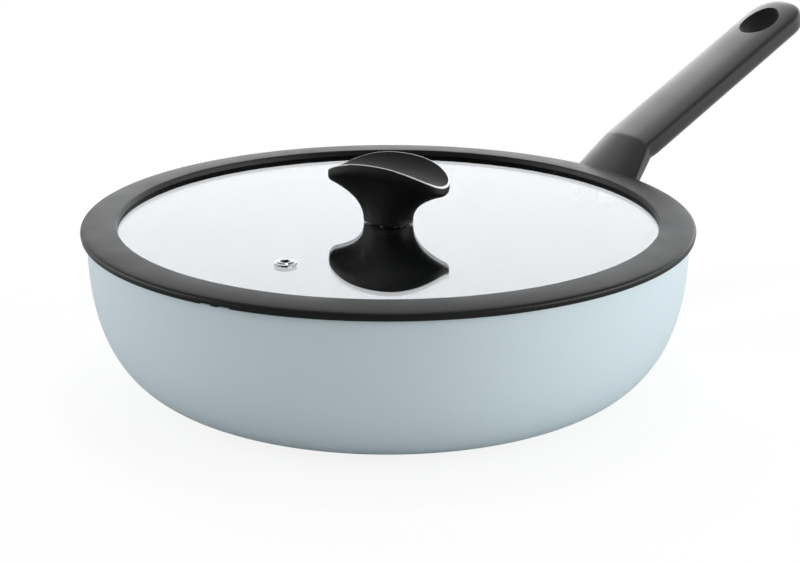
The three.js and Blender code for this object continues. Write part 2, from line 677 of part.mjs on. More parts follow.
const lacquer = () => finish(0xc9d9de, 0.35, 0.1);
const steel = () => finish(0xb9bcc0, 0.3, 1);
const aluminium = () => finish(0xc4c7ca, 0.4, 1);
const brass = () => finish(0xc6a55a, 0.35, 1);
const softPlastic = () => finish(0x2b2c2c, 0.6, 0);
const hardPlastic = () => finish(0x161616, 0.4, 0);
const silicone = () => finish(0x1f2020, 0.55, 0);
const glass = () => finish(0xe4ecf0, 0.03, 0, { transparent: true, opacity: 0.35 });

function piece(name, geometry, material) {
  const mesh = new THREE.Mesh(geometry, material);
  mesh.name = name;
  return mesh;
}

// The pan, with a turned group at the bend that holds the handle's screw
const pan = new THREE.Group();
pan.add(
  piece('pan_body', panBody(), lacquer()),
  piece('induction_plate', inductionPlate(), steel()),
  piece('handle_bracket', handleBracket(), steel()),
  piece('handle_rivet_left', rivet(rivetTurns[0]), aluminium()),
  piece('handle_rivet_right', rivet(rivetTurns[1]), aluminium()),
  piece('handle_grip', handleGrip(), softPlastic()),
);
const handleFastening = new THREE.Group();
handleFastening.position.copy(BEND);
handleFastening.rotation.y = -COLLAR_ANGLE;
for (const fastener of [
  piece('handle_screw', handleScrew(), steel()),
  piece('handle_screw_washer', handleScrewWasher(), steel()),
]) {
  fastener.position.x = -HANDLE_SCREW_SETBACK;
  handleFastening.add(fastener);
}
pan.add(handleFastening);

// The lid, with a turned group on the glass that holds the knob and its insert
const lid = new THREE.Group();
lid.add(
  piece('lid_glass', lidGlass(), glass()),
  piece('lid_rim', lidRim(), silicone()),
  piece('vent_eyelet', ventEyelet(), steel()),
  piece('vent_washer', ventWasher(), silicone()),
  piece('knob_gasket', knobGasket(), silicone()),
  piece('glass_bush', glassBush(), silicone()),
  piece('knob_screw_washer', knobScrewWasher(), steel()),
  piece('knob_screw', knobScrew(), steel()),
);
const knob = new THREE.Group();
knob.position.z = KNOB_BASE;
knob.rotation.z = THREE.MathUtils.degToRad(KNOB_TURN);
knob.add(piece('lid_knob', lidKnob(), hardPlastic()), piece('knob_insert', knobInsert(), brass()));
lid.add(knob);

const assembly = new THREE.Group();
assembly.add(pan, lid);

export default assembly;
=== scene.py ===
"""Deep flat-based pan with a riveted handle and a flat glass lid in a soft rim.

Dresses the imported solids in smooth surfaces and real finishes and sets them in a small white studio.
All lengths are metres, in the frame of the solids: the origin is the middle of the base, +Z is up and
the handle points along +X.
"""

import math

import bmesh
import bpy
import numpy as np
from bpy.props import FloatProperty, FloatVectorProperty, IntProperty, PointerProperty
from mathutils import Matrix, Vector


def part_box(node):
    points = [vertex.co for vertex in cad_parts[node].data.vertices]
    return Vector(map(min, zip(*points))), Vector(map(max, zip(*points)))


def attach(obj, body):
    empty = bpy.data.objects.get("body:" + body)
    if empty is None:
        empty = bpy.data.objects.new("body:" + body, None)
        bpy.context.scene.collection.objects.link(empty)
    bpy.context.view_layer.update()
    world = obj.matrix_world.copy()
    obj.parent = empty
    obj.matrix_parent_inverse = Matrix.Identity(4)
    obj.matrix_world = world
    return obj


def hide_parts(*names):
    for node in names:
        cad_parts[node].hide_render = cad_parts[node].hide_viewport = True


bl_info = {
    "name": "Deep Pan with Glass Lid",
    "version": (1, 0, 0),
    "blender": (4, 5, 0),
    "location": "3D View > Sidebar > Pan",
    "description": "Dresses a deep pan, its handle and its glass lid, and sets them in a small studio",
    "category": "Add Mesh",
}

WELD = 1e-6  # points closer than this are one
TOUCH_GAP = 0.00005  # room between pieces that touch
EDGE_BREAK = 0.0001  # rounding of a machined edge
WASHER_ROUND = 0.0002  # rounding of a washer's edge
CUTTER_REACH = 0.05  # how far a cutter reaches past what it cuts
VENT_SEAL_BORE = 0.0034  # of the washer round the vent's tube
BUSH_SLEEVE = 0.005  # radius of the bush where it passes the glass
CROSS_DEPTH = 0.0014  # of the cross recess in a screw head
CORNER_ROOM = 0.49  # share of a side that the arc at one of its corners may take
SENSOR_WIDTH = 36  # of the camera, in millimetres

# Points along a line of a grid, and round a turn
WALL_STEPS = 60
FACE_STEPS = 13
NOTCH_STEPS = 90
NECK_STEPS = 41
DISH_STEPS = 28
COLLAR_STEPS = 45
BEND_STEPS = 8
GRIP_STEPS = 60
TIP_STEPS = 28
FLARE_STEPS = 9
KNOB_TURNS = 192
GRIP_TURNS = 128
HOLE_TURNS = 96
FLOOR_TURNS = 96

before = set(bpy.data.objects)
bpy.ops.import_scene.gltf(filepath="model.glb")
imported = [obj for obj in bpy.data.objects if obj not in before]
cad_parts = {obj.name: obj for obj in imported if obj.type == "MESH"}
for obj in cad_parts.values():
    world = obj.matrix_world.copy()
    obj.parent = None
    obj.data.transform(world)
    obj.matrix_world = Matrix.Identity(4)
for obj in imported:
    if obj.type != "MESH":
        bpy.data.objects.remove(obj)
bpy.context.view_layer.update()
_, pan_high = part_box("pan_body")
rim_low, rim_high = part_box("lid_rim")
glass_low, glass_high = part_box("lid_glass")
knob_low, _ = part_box("lid_knob")
eyelet_low, eyelet_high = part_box("vent_eyelet")
vent_washer_low, vent_washer_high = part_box("vent_washer")
gasket_low, gasket_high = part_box("knob_gasket")
bush_low, bush_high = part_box("glass_bush")
knob_washer_low, knob_washer_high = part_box("knob_screw_washer")
knob_screw_low, knob_screw_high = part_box("knob_screw")
_, rivet_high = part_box("handle_rivet_left")


# Properties

def linear(code):
    """Linear red, green, blue and full alpha of an sRGB hex colour."""
    parts = np.array([int(code[i:i + 2], 16) for i in (1, 3, 5)]) / 255
    bright = ((parts + 0.055) / 1.055) ** 2.4
    return (*np.where(parts <= 0.04045, parts / 12.92, bright).tolist(), 1.0)


def length(name, description, default):
    return FloatProperty(name=name, description=description, default=default, unit="LENGTH", precision=4)


def share(name, description, default):
    return FloatProperty(name=name, description=description, default=default, subtype="FACTOR")


def number(name, description, default):
    return FloatProperty(name=name, description=description, default=default)


def angle(name, description, degrees):
    turn = math.radians(degrees)
    return FloatProperty(name=name, description=description, default=turn, subtype="ANGLE")


def point(name, description, default):
    return FloatVectorProperty(name=name, description=description, default=default, unit="LENGTH")


def colour(name, description, code):
    return FloatVectorProperty(
        name=name, description=description, default=linear(code), size=4, min=0, max=1, subtype="COLOR"
    )


class PanSizes(bpy.types.PropertyGroup):
    """Sizes of the pan's body."""

    rim_radius: length("Rim radius", "Outside of the wall at the rim", pan_high.y)
    height: length("Height", "Base to rim", pan_high.z)
    base_radius: length("Base radius", "Where the wall leaves the base", 0.090)
    wall: length("Wall", "Thickness of the wall", 0.0035)
    floor: length("Floor", "Thickness of the floor", 0.005)
    roundness: number("Roundness", "Exponent of the wall's curve", 2.5)
    recess_radius: length("Recess radius", "Recess for the steel plate", 0.0783)
    recess_depth: length("Recess depth", "Recess for the steel plate", 0.00125)
    recess_round: length("Recess round", "Rounding of the recess's edge", 0.0003)
    base_edge: length("Base edge", "Lacquered edge round the bare base", 0.001)
    lip_round: length("Lip round", "Rounding along the edge of the rim", 0.0012)


class RimSizes(bpy.types.PropertyGroup):
    """Sizes of the lid's soft rim."""

    radius: length("Radius", "Outside of the soft rim", rim_high.y)
    crest: length("Crest", "Level of the inner edge", rim_high.z)
    lip: length("Lip", "Level of the lip that enters the pan", rim_low.z)
    seat: length("Seat", "Level of the face that rests on the pan", pan_high.z + TOUCH_GAP)
    face_width: length("Face width", "Width of the upper face", 0.0174)
    face_fall: length("Face fall", "How far the face falls to its outer edge", 0.0014)
    face_end: share("Face end", "Share of the width where the crown passes into the outer edge", 0.78)
    inner_lean: length("Inner lean", "Foot of the inner edge beyond its crest", 0.0009)
    groove_gap: length("Groove gap", "Edge of the glass to the bottom of its channel", 0.0003)
    undercut: length("Undercut", "How far the outer side leans in below", 0.0006)
    plug_radius: length("Plug radius", "Outside of the lip inside the pan", 0.1412)
    plug_width: length("Plug width", "Thickness of that lip", 0.004)
    notch_width: length("Notch width", "Width of each steam notch", 0.0056)
    notch_depth: length("Notch depth", "Depth of each steam notch", 0.0006)
    notch_soft: length("Notch soft", "Width of a notch's soft side", 0.001)
    notch_fade: length("Notch fade", "Height over which a notch fades up the outer side", 0.002)
    notch_inset: length("Notch inset", "Lip to where the notches start", 0.0006)
    notch_pitch: length("Notch pitch", "Distance between the two notches", 0.0098)
    crest_round: length("Crest round", "Rounding of the inner edge", 0.0007)
    glass_round: length("Glass round", "Rounding where the inner edge meets the glass", 0.0002)
    edge_round: length("Edge round", "Rounding of the outer edge", 0.0022)
    foot_round: length("Foot round", "Rounding of the foot of that edge", 0.0005)
    lip_round: length("Lip round", "Rounding of the lip inside the pan", 0.0009)
    small_round: length("Small round", "Rounding of the corner at the lip's root", 0.0003)
    slope_round: length("Slope round", "Rounding where the lip's inner slope ends", 0.0004)
    notch_turn: angle("Notch turn", "Place of the notches, from the handle", -161.5)


class KnobSizes(bpy.types.PropertyGroup):
    """Sizes of the knob on the lid."""

    base: length("Base", "Level of the foot", knob_low.z)
    turn: angle("Turn", "Long axis, from the handle", -73)
    length: length("Length", "Along the long axis", 0.0646)
    width: length("Width", "Across the long axis", 0.0310)
    side_height: length("Side height", "Height of the long edges", 0.0309)
    tip_height: length("Tip height", "Height of the two ends", 0.0215)
    dish: length("Dish", "Hollow across the top", 0.006)
    edge: length("Edge", "Height of the band below the top", 0.0048)
    neck_length: length("Neck length", "Foot along the long axis", 0.0244)
    neck_width: length("Neck width", "Foot across the long axis", 0.0190)
    flare: share("Flare", "Share of the height over which the neck stays upright", 0.62)
    roundness: number("Roundness", "Exponent of the ovals", 2.45)
    top_round: length("Top round", "Rounding of the upper edge", 0.0008)
    under_round: length("Under round", "Rounding of the lower edge", 0.0018)
    # Painted highlight: width of the pale line painted along the knob's upper edge.
    edge_line: length("Edge line", "Width of the buffed line along the upper edge", 0.0007)
    gasket_inset: length("Gasket inset", "Edge of the gasket inside the foot", 0.0010)
    bore_radius: length("Bore radius", "Bore for the brass insert", 0.0045)
    bore_depth: length("Bore depth", "Bore for the brass insert", 0.0146)


class HandleSizes(bpy.types.PropertyGroup):
    """Sizes of the handle."""

    bend_reach: length("Bend reach", "Bend beyond the rim", 0.0228)
    bend_rise: length("Bend rise", "Bend above the rim", 0.01175)
    tilt: angle("Tilt", "Slope of the grip", 24.5)
    length: length("Length", "Bend to tip", 0.14265)
    width: length("Width", "Width of the grip", 0.0326)
    thickness: length("Thickness", "Thickness of the grip", 0.0164)
    top_roundness: number("Top roundness", "Exponent above the middle", 3.5)
    under_roundness: number("Under roundness", "Exponent below the middle", 2.8)
    collar_roundness: number("Collar roundness", "Exponent below the middle of the collar", 1.87)
    crown: share("Crown", "Fall of the top to its edges, of half the thickness", 0.43)
    ridge: share("Ridge", "Softness of the top's edges, of half the thickness", 0.26)
    collar_width: length("Collar width", "Root of the collar", 0.0622)
    collar_top: length("Collar top", "Upper edge of the root below the rim", 0.0126)
    collar_bottom: length("Collar bottom", "Lower edge of the root below the rim", 0.0355)
    collar_sink: length("Collar sink", "Root inside the line of the wall", 0.010)
    keel: share("Keel", "How much the collar narrows towards its underside", 0.44)
    bend_keel: share("Bend keel", "How much it narrows at the bend", 0.08)
    crease_slide: length("Crease slide", "Crease of the bend further out at its top", 0.0033)
    lid_gap: length("Lid gap", "Collar to the path of the lid", 0.0009)
    wall_gap: length("Wall gap", "Collar to the wall", 0.0003)
    hole_length: length("Hole length", "Hanging hole along the grip", 0.026)
    hole_width: length("Hole width", "Hanging hole across the grip", 0.020)
    hole_setback: length("Hole setback", "Middle of the hole to the tip", 0.0256)
    hole_round: length("Hole round", "Rounding of the hole's edge", 0.0005)
    hole_flare: angle("Hole flare", "Turn of that rounding before it meets the face", 68)
    screw_setback: length("Screw setback", "Screw below the bend", 0.015)
    screw_end: length("Screw end", "End of the screw above the middle of the tongue", 0.002)
    screw_radius: length("Screw radius", "Thread of the screws", 0.0025)
    head_radius: length("Head radius", "Head of the screws", 0.0046)
    head_height: length("Head height", "Head of the screws", 0.0028)
    washer_radius: length("Washer radius", "Washer under the handle's screw", 0.0048)
    washer_top: length("Washer top", "Washer below the middle of the tongue", 0.004)
    washer_thickness: length("Washer thickness", "Washer under the handle's screw", 0.001)
    rivet_spacing: length("Rivet spacing", "Between the two rivets", 0.020)
    rivet_head: length("Rivet head", "Radius of the heads inside the pan", 0.005)
    rivet_head_height: length("Rivet head height", "Height of the heads inside the pan", 0.0018)
    rivet_radius: length("Rivet radius", "Shank of the rivets", 0.0024)
    rivet_tail: length("Rivet tail", "Radius of the upset tails", 0.0038)
    rivet_tail_height: length("Rivet tail height", "Height of the upset tails", 0.0016)


class FinishColours(bpy.types.PropertyGroup):
    """Colours of the finishes."""

    lacquer: colour("Lacquer", "Outside of the pan", "#C4D3D8")
    lacquer_deep: colour("Lacquer, deeper", "Slow variation of the lacquer", "#BFCFD5")
    nonstick: colour("Non-stick", "Inside of the pan", "#232425")
    nonstick_fleck: colour("Non-stick fleck", "Mineral flecks in the coating", "#6B6D6F")
    silicone: colour("Silicone", "Rim of the lid", "#191A1A")
    silicone_worn: colour("Silicone, paler", "Slow variation of the rim", "#1E1F1F")
    soft_touch: colour("Soft touch", "Handle", "#28292A")
    soft_touch_worn: colour("Soft touch, paler", "Slow variation of the handle", "#2D2E2F")
    phenolic: colour("Phenolic", "Knob", "#0E0E0E")
    phenolic_worn: colour("Phenolic, paler", "Slow variation of the knob", "#131313")
    # Painted highlight: near-white line painted along the knob's upper edge, with darker flecks in it.
    phenolic_edge: colour("Phenolic edge", "Buffed edge of the knob", "#DCDCDA")
    phenolic_edge_dark: colour("Phenolic edge, darker", "Rubbing marks in that edge", "#C6C6C4")
    glass: colour("Glass", "Clear tempered glass", "#F6FAF9")
    steel: colour("Steel", "Stainless steel", "#C6C7C8")
    steel_dark: colour("Steel, darker", "Rubbed lines in the steel", "#A9ABAD")
    aluminium: colour("Aluminium", "Bare aluminium", "#CFD1D2")
    aluminium_dark: colour("Aluminium, darker", "Turned lines in the aluminium", "#B4B6B8")
    zinc: colour("Zinc", "Plated screws and washers", "#B9BDC2")
    zinc_dark: colour("Zinc, darker", "Clouds in the plating", "#9EA4AA")
    brass: colour("Brass", "Insert in the knob", "#C8A85E")
    brass_dark: colour("Brass, darker", "Clouds in the brass", "#A98A45")


class StageSettings(bpy.types.PropertyGroup):
    """Camera and light."""

    camera_place: point("Camera", "Place of the camera", (-0.6867, -0.7913, 0.3787))
    camera_aim: point("Aim", "What the camera looks at", (-0.0569, -0.0734, 0.07855))
    lens: number("Lens", "Focal length in millimetres", 100.82)
    floor_radius: length("Floor radius", "Half the width of the floor", 6.0)
    floor: colour("Floor", "Pale studio floor", "#F4F4F4")
    daylight: colour("Daylight", "Cool light of the softbox behind the lid", "#F6F9FF")
    sky: share("Sky", "Level of the light from all round", 0.44)
    front: share("Front", "What gloss sees in front of the object", 0.03)
    fade_from: share("Fade from", "Cosine to the line of sight where the mirrored white begins", 0.45)
    fade_to: share("Fade to", "Cosine to the line of sight where it is full", 0.95)
    floor_white: share("Floor white", "The part of the floor's white that is its own", 0.855)
    floor_from: length("Floor from", "Depth where the floor's mirrored white begins", -0.1)
    floor_to: length("Floor to", "Depth where it is full", 0.3)
    floor_shade: share("Floor shade", "The part that takes shadow", 0.16)


class PanSettings(bpy.types.PropertyGroup):
    """All that a user may change."""

    pan: PointerProperty(type=PanSizes)
    rim: PointerProperty(type=RimSizes)
    knob: PointerProperty(type=KnobSizes)
    handle: PointerProperty(type=HandleSizes)
    colours: PointerProperty(type=FinishColours)
    stage: PointerProperty(type=StageSettings)
    turns: IntProperty(name="Turns", description="Steps round the pan and the lid", default=256, min=32)
    small_turns: IntProperty(name="Small turns", description="Steps round a fastener", default=48, min=12)


# Surfaces

def grid_faces(rows, columns, wrap_rows=False):
    """Quads between neighbours of a grid of points, rows after rows; each row closes on itself."""
    last = rows if wrap_rows else rows - 1
    row, column = np.meshgrid(np.arange(last), np.arange(columns), indexing="ij")
    here = row * columns
    below = (row + 1) % rows * columns
    beside = (column + 1) % columns
    corners = [here + column, here + beside, below + beside, below + column]
    return np.stack(corners, -1).reshape(-1, 4)


def make_solid(name, grid, wrap_rows=False):
    """Closed mesh over a grid of points: doubles at poles and seams are welded, faces turned outwards."""
    mesh = bpy.data.meshes.new(name)
    mesh.from_pydata(grid.reshape(-1, 3), [], grid_faces(grid.shape[0], grid.shape[1], wrap_rows))
    welded = bmesh.new()
    welded.from_mesh(mesh)
    bmesh.ops.remove_doubles(welded, verts=welded.verts, dist=WELD)
    bmesh.ops.recalc_face_normals(welded, faces=welded.faces)
    welded.to_mesh(mesh)
    welded.free()
    piece = bpy.data.objects.new(name, mesh)
    bpy.context.scene.collection.objects.link(piece)
    return piece


def carve(piece, cutters):
    """Cuts the cutters out of the piece, keeps the result as its mesh and removes the cutters."""
    for cutter in cutters:
        cut = piece.modifiers.new(cutter.name, "BOOLEAN")
        cut.operation = "DIFFERENCE"
        cut.solver = "EXACT"
        cut.object = cutter
    bpy.context.view_layer.update()
    carved = bpy.data.meshes.new_from_object(piece.evaluated_get(bpy.context.evaluated_depsgraph_get()))
    piece.modifiers.clear()
    plain = piece.data
    piece.data = carved
    bpy.data.meshes.remove(plain)
    for cutter in cutters:
        bpy.data.meshes.remove(cutter.data)


def dress(piece, body, node, finishes, sharp=40):
    """Smooth shading with sharp creases, finishes, and the body and node that the piece stands for."""
    mesh = piece.data
    mesh.materials.clear()
    for finish in finishes:
        mesh.materials.append(finish)
    mesh.shade_smooth()
    mesh.set_sharp_from_angle(angle=math.radians(sharp))
    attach(piece, body)
    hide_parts(node)


def shared(make, colours):
    """Finish that several pieces share, made once and named for its function."""
    return bpy.data.materials.get(make.__name__) or make(colours)


def face_middles(mesh):
    middle = np.empty(3 * len(mesh.polygons))
    mesh.polygons.foreach_get("center", middle)
    return middle.reshape(-1, 3)


def finish_node(name, finish):
    """Gives a solid that is shown as it is a real finish."""
    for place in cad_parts[name].material_slots:
        place.material = finish


def rounded(corners, radii, steps=5):
    """Outline with an arc at each corner, from A to B round C: the rational curve
    ((1-t)^2 A + 2t(1-t)w C + t^2 B) / ((1-t)^2 + 2t(1-t)w + t^2), w being the sine of half
    the corner's angle."""
    corner = np.asarray(corners, float)
    before = np.roll(corner, 1, 0) - corner
    after = np.roll(corner, -1, 0) - corner
    room = np.minimum(np.linalg.norm(before, axis=1), np.linalg.norm(after, axis=1))
    before /= np.linalg.norm(before, axis=1, keepdims=True)
    after /= np.linalg.norm(after, axis=1, keepdims=True)
    half = np.arccos(np.clip((before * after).sum(1), -1, 1)) / 2
    reach = np.minimum(np.asarray(radii, float) / np.tan(half), CORNER_ROOM * room)[:, None]
    points = arc(corner + before * reach, corner, corner + after * reach, np.sin(half)[:, None], steps)
    outline = np.swapaxes(points, 0, 1).reshape(-1, 2)
    fresh = np.linalg.norm(outline - np.roll(outline, 1, 0), axis=1) > WELD
    return outline[fresh]


def arc(start, corner, end, weight, steps):
    """Rows of points on the arcs from start to end round the corner, for whole arrays at once."""
    t = np.linspace(0, 1, steps + 1).reshape(-1, *[1] * np.ndim(corner))
    first = (1 - t) ** 2
    middle = 2 * t * (1 - t) * weight
    last = t ** 2
    return (first * start + middle * corner + last * end) / (first + middle + last)


def turned(profile, angles):
    """Grid of a body of revolution: each profile point (r, z) goes to (r cos a, r sin a, z)."""
    r, z = profile[:, :1], profile[:, 1:]
    return np.stack([r * np.cos(angles), r * np.sin(angles), z + 0 * angles], -1)


def full_turn(steps):
    return np.linspace(0, 2 * np.pi, steps, endpoint=False)


def signed_power(value, exponent):
    return np.sign(value) * np.abs(value) ** exponent


def oval(length, width, roundness, angles):
    """Superellipse |2x/length|^n + |2y/width|^n = 1, as x and y over the angles."""
    power = 2 / roundness
    x = length / 2 * signed_power(np.cos(angles), power)
    y = width / 2 * signed_power(np.sin(angles), power)
    return x, y


def level_row(x, y, level):
    """Row of points at one level."""
    return np.stack([x, y, level + 0 * x], -1)


def smooth_step(value):
    held = np.clip(value, 0, 1)
    return held * held * (3 - 2 * held)


# Nodes

def add(tree, kind, sockets=None, **settings):
    """Adds a node with its settings; a socket gets a value, or a link from another node's output."""
    node = tree.nodes.new(kind)
    for name, value in settings.items():
        setattr(node, name, value)
    for key, value in (sockets or {}).items():
        if isinstance(value, bpy.types.NodeSocket):
            tree.links.new(value, node.inputs[key])
        else:
            node.inputs[key].default_value = value
    return node


def new_finish(name):
    """Empty material: its tree, its shader and the Object coordinates that its patterns read."""
    finish = bpy.data.materials.new(name)
    finish.use_nodes = True
    tree = finish.node_tree
    tree.nodes.clear()
    shader = add(tree, "ShaderNodeBsdfPrincipled")
    add(tree, "ShaderNodeOutputMaterial", {"Surface": shader.outputs["BSDF"]})
    place = add(tree, "ShaderNodeTexCoord").outputs["Object"]
    return finish, tree, shader, place


def per_size(size):
    """Scale of a noise whose blotches are about this size across."""
    return 1 / size


def per_ring(spacing):
    """Scale of a ring wave with this spacing: the wave repeats every 2 pi / 20 of its scaled radius."""
    return 2 * math.pi / (20 * spacing)


def blend(tree, shader, amount, colours):
    """Base colour that goes from one value to another with an amount from 0 to 1."""
    tone = add(tree, "ShaderNodeMix", {0: amount, 6: colours[0], 7: colours[1]}, data_type="RGBA")
    tree.links.new(tone.outputs[2], shader.inputs["Base Color"])


def vary(tree, shader, place, size, colours, roughness):
    """Slow cloudiness: a noise of this size moves the colour and the roughness between two values."""
    cloud = add(tree, "ShaderNodeTexNoise", {"Vector": place, "Scale": per_size(size), "Detail": 3})
    spread = add(tree, "ShaderNodeMapRange", {
        "Value": cloud.outputs["Fac"], "From Min": 0.3, "From Max": 0.7,
        "To Min": roughness[0], "To Max": roughness[1],
    })
    blend(tree, shader, cloud.outputs["Fac"], colours)
    tree.links.new(spread.outputs["Result"], shader.inputs["Roughness"])


def tool_lines(tree, shader, place, spacing, colours, distortion, detail):
    """Rings with this spacing that move the colour between two values; gives their level."""
    lines = add(tree, "ShaderNodeTexWave", {
        "Vector": place, "Scale": per_ring(spacing), "Distortion": distortion, "Detail": detail,
    }, wave_type="RINGS", rings_direction="Z")
    blend(tree, shader, lines.outputs["Fac"], colours)
    return lines.outputs["Fac"]


def grain(tree, shader, place, size, height, strength):
    """Fine relief: a noise of this size and height bumps the surface."""
    bumps = add(tree, "ShaderNodeTexNoise", {"Vector": place, "Scale": per_size(size), "Detail": 2})
    relief = add(tree, "ShaderNodeBump", {
        "Height": bumps.outputs["Fac"], "Distance": height, "Strength": strength,
    })
    tree.links.new(relief.outputs["Normal"], shader.inputs["Normal"])


def mirrored_rays(tree, path):
    """1 for rays that see the surroundings in gloss or through glass."""
    rays = {0: path.outputs["Is Glossy Ray"], 1: path.outputs["Is Transmission Ray"]}
    return add(tree, "ShaderNodeMath", rays, operation="MAXIMUM").outputs["Value"]


# Finishes

def sprayed_lacquer(colours):
    """Baked satin lacquer on aluminium: pale blue-grey, softly shining, with a faint orange peel."""
    finish, tree, shader, place = new_finish("sprayed_lacquer")
    tones = (colours.lacquer, colours.lacquer_deep)
    vary(tree, shader, place, size=0.07, colours=tones, roughness=(0.36, 0.42))
    grain(tree, shader, place, size=0.0022, height=0.00005, strength=0.25)
    shader.inputs["IOR"].default_value = 1.5
    return finish


def mineral_nonstick(colours):
    """Sprayed non-stick coating: near black, dull, with mineral flecks drawn 2.4 mm apart so that
    they show."""
    finish, tree, shader, place = new_finish("mineral_nonstick")
    fleck = add(tree, "ShaderNodeTexVoronoi", {
        "Vector": place, "Scale": per_size(0.0024), "Randomness": 1.0,
    })
    spot = add(tree, "ShaderNodeMapRange", {
        "Value": fleck.outputs["Distance"], "From Min": 0.16, "From Max": 0.1,
        "To Min": 0.0, "To Max": 0.8,
    })
    blend(tree, shader, spot.outputs["Result"], (colours.nonstick, colours.nonstick_fleck))
    grain(tree, shader, place, size=0.0015, height=0.00004, strength=0.3)
    shader.inputs["Roughness"].default_value = 0.5
    shader.inputs["IOR"].default_value = 1.38
    return finish


def turned_aluminium(colours):
    """Bare aluminium faced on a lathe: concentric tool lines, drawn at 1.4 mm so that they show."""
    finish, tree, shader, place = new_finish("turned_aluminium")
    tones = (colours.aluminium_dark, colours.aluminium)
    tool_lines(tree, shader, place, spacing=0.0014, colours=tones, distortion=0.6, detail=2)
    shader.inputs["Metallic"].default_value = 1.0
    shader.inputs["Roughness"].default_value = 0.34
    return finish


def spun_steel(colours):
    """Magnetic stainless plate pressed into the base: spun lines, drawn at 1 mm, vary its tone
    and gloss."""
    finish, tree, shader, place = new_finish("spun_steel")
    tones = (colours.steel_dark, colours.steel)
    lines = tool_lines(tree, shader, place, spacing=0.001, colours=tones, distortion=1.5, detail=3)
    rub = add(tree, "ShaderNodeMapRange", {"Value": lines, "To Min": 0.26, "To Max": 0.4})
    tree.links.new(rub.outputs["Result"], shader.inputs["Roughness"])
    shader.inputs["Metallic"].default_value = 1.0
    return finish


def pressed_steel(colours):
    """Stainless sheet as rolled and pressed: satin, with a slow cloudiness."""
    finish, tree, shader, place = new_finish("pressed_steel")
    tones = (colours.steel_dark, colours.steel)
    vary(tree, shader, place, size=0.006, colours=tones, roughness=(0.3, 0.42))
    shader.inputs["Metallic"].default_value = 1.0
    return finish


def polished_steel(colours):
    """Stainless eyelet, tumbled bright: mirror-like, with a trace of haze."""
    finish, tree, shader, place = new_finish("polished_steel")
    tones = (colours.steel, colours.steel_dark)
    vary(tree, shader, place, size=0.002, colours=tones, roughness=(0.12, 0.2))
    shader.inputs["Metallic"].default_value = 1.0
    return finish


def headed_aluminium(colours):
    """Aluminium rivet, cold headed: satin dome with fine die marks."""
    finish, tree, shader, place = new_finish("headed_aluminium")
    tones = (colours.aluminium, colours.aluminium_dark)
    vary(tree, shader, place, size=0.0016, colours=tones, roughness=(0.28, 0.4))
    grain(tree, shader, place, size=0.0008, height=0.00002, strength=0.3)
    shader.inputs["Metallic"].default_value = 1.0
    return finish


def zinc_plate(colours):
    """Steel with bright zinc plating: slightly blue, cloudy."""
    finish, tree, shader, place = new_finish("zinc_plate")
    tones = (colours.zinc, colours.zinc_dark)
    vary(tree, shader, place, size=0.002, colours=tones, roughness=(0.25, 0.36))
    shader.inputs["Metallic"].default_value = 1.0
    return finish


def turned_brass(colours):
    """Brass insert from a bar lathe: warm, with a slow cloudiness."""
    finish, tree, shader, place = new_finish("turned_brass")
    tones = (colours.brass, colours.brass_dark)
    vary(tree, shader, place, size=0.0012, colours=tones, roughness=(0.28, 0.38))
    shader.inputs["Metallic"].default_value = 1.0
    return finish


def moulded_silicone(colours):
    """Silicone rubber from a matt mould: charcoal, with a fine tooth that greys at a low angle."""
    finish, tree, shader, place = new_finish("moulded_silicone")
    tones = (colours.silicone, colours.silicone_worn)
    vary(tree, shader, place, size=0.02, colours=tones, roughness=(0.4, 0.46))
    grain(tree, shader, place, size=0.0009, height=0.00002, strength=0.25)
    shader.inputs["IOR"].default_value = 1.36
    return finish


def soft_touch(colours):
    """Phenolic handle with a sprayed soft-touch coat: charcoal, velvety at a low angle."""
    finish, tree, shader, place = new_finish("soft_touch")
    tones = (colours.soft_touch, colours.soft_touch_worn)
    vary(tree, shader, place, size=0.03, colours=tones, roughness=(0.42, 0.5))
    grain(tree, shader, place, size=0.0008, height=0.00002, strength=0.25)
    shader.inputs["IOR"].default_value = 1.42
    shader.inputs["Sheen Weight"].default_value = 0.6
    shader.inputs["Sheen Roughness"].default_value = 0.35
    return finish


def moulded_phenolic(colours):
    """Black phenolic from a satin mould: deep black with a soft shine on its edges."""
    finish, tree, shader, place = new_finish("moulded_phenolic")
    tones = (colours.phenolic, colours.phenolic_worn)
    vary(tree, shader, place, size=0.012, colours=tones, roughness=(0.44, 0.52))
    grain(tree, shader, place, size=0.0009, height=0.00002, strength=0.2)
    shader.inputs["IOR"].default_value = 1.42
    return finish


def buffed_phenolic(colours):
    """Painted highlight: a pale line painted along the knob's upper edge, where it catches the light."""
    finish, tree, shader, place = new_finish("buffed_phenolic")
    tones = (colours.phenolic_edge, colours.phenolic_edge_dark)
    vary(tree, shader, place, size=0.001, colours=tones, roughness=(0.3, 0.4))
    shader.inputs["IOR"].default_value = 1.5
    return finish


def tempered_glass(colours):
    """Clear float glass: a trace of green, and a polish that wipes leave a little uneven."""
    finish, tree, shader, place = new_finish("tempered_glass")
    wipe = add(tree, "ShaderNodeTexNoise", {"Vector": place, "Scale": per_size(0.04), "Detail": 2})
    haze = add(tree, "ShaderNodeMapRange", {
        "Value": wipe.outputs["Fac"], "From Min": 0.45, "From Max": 0.75, "To Min": 0.0, "To Max": 0.025,
    })
    tree.links.new(haze.outputs["Result"], shader.inputs["Roughness"])
    shader.inputs["Base Color"].default_value = colours.glass
    shader.inputs["IOR"].default_value = 1.52
    shader.inputs["Transmission Weight"].default_value = 1.0
    return finish


# Shapes

def wall_line(pan, floor, offset):
    """Wall of the pan from its foot to the rim, in or out by an offset: with p = 2 / roundness,
    r = base + offset + (rim - base) sin(t)^p and z = height - (height - floor) cos(t)^p."""
    t = np.linspace(0, np.pi / 2, WALL_STEPS)
    power = 2 / pan.roundness
    r = pan.base_radius + offset + (pan.rim_radius - pan.base_radius) * np.sin(t) ** power
    z = pan.height - (pan.height - floor) * np.abs(np.cos(t)) ** power
    return np.stack([r, z], -1)


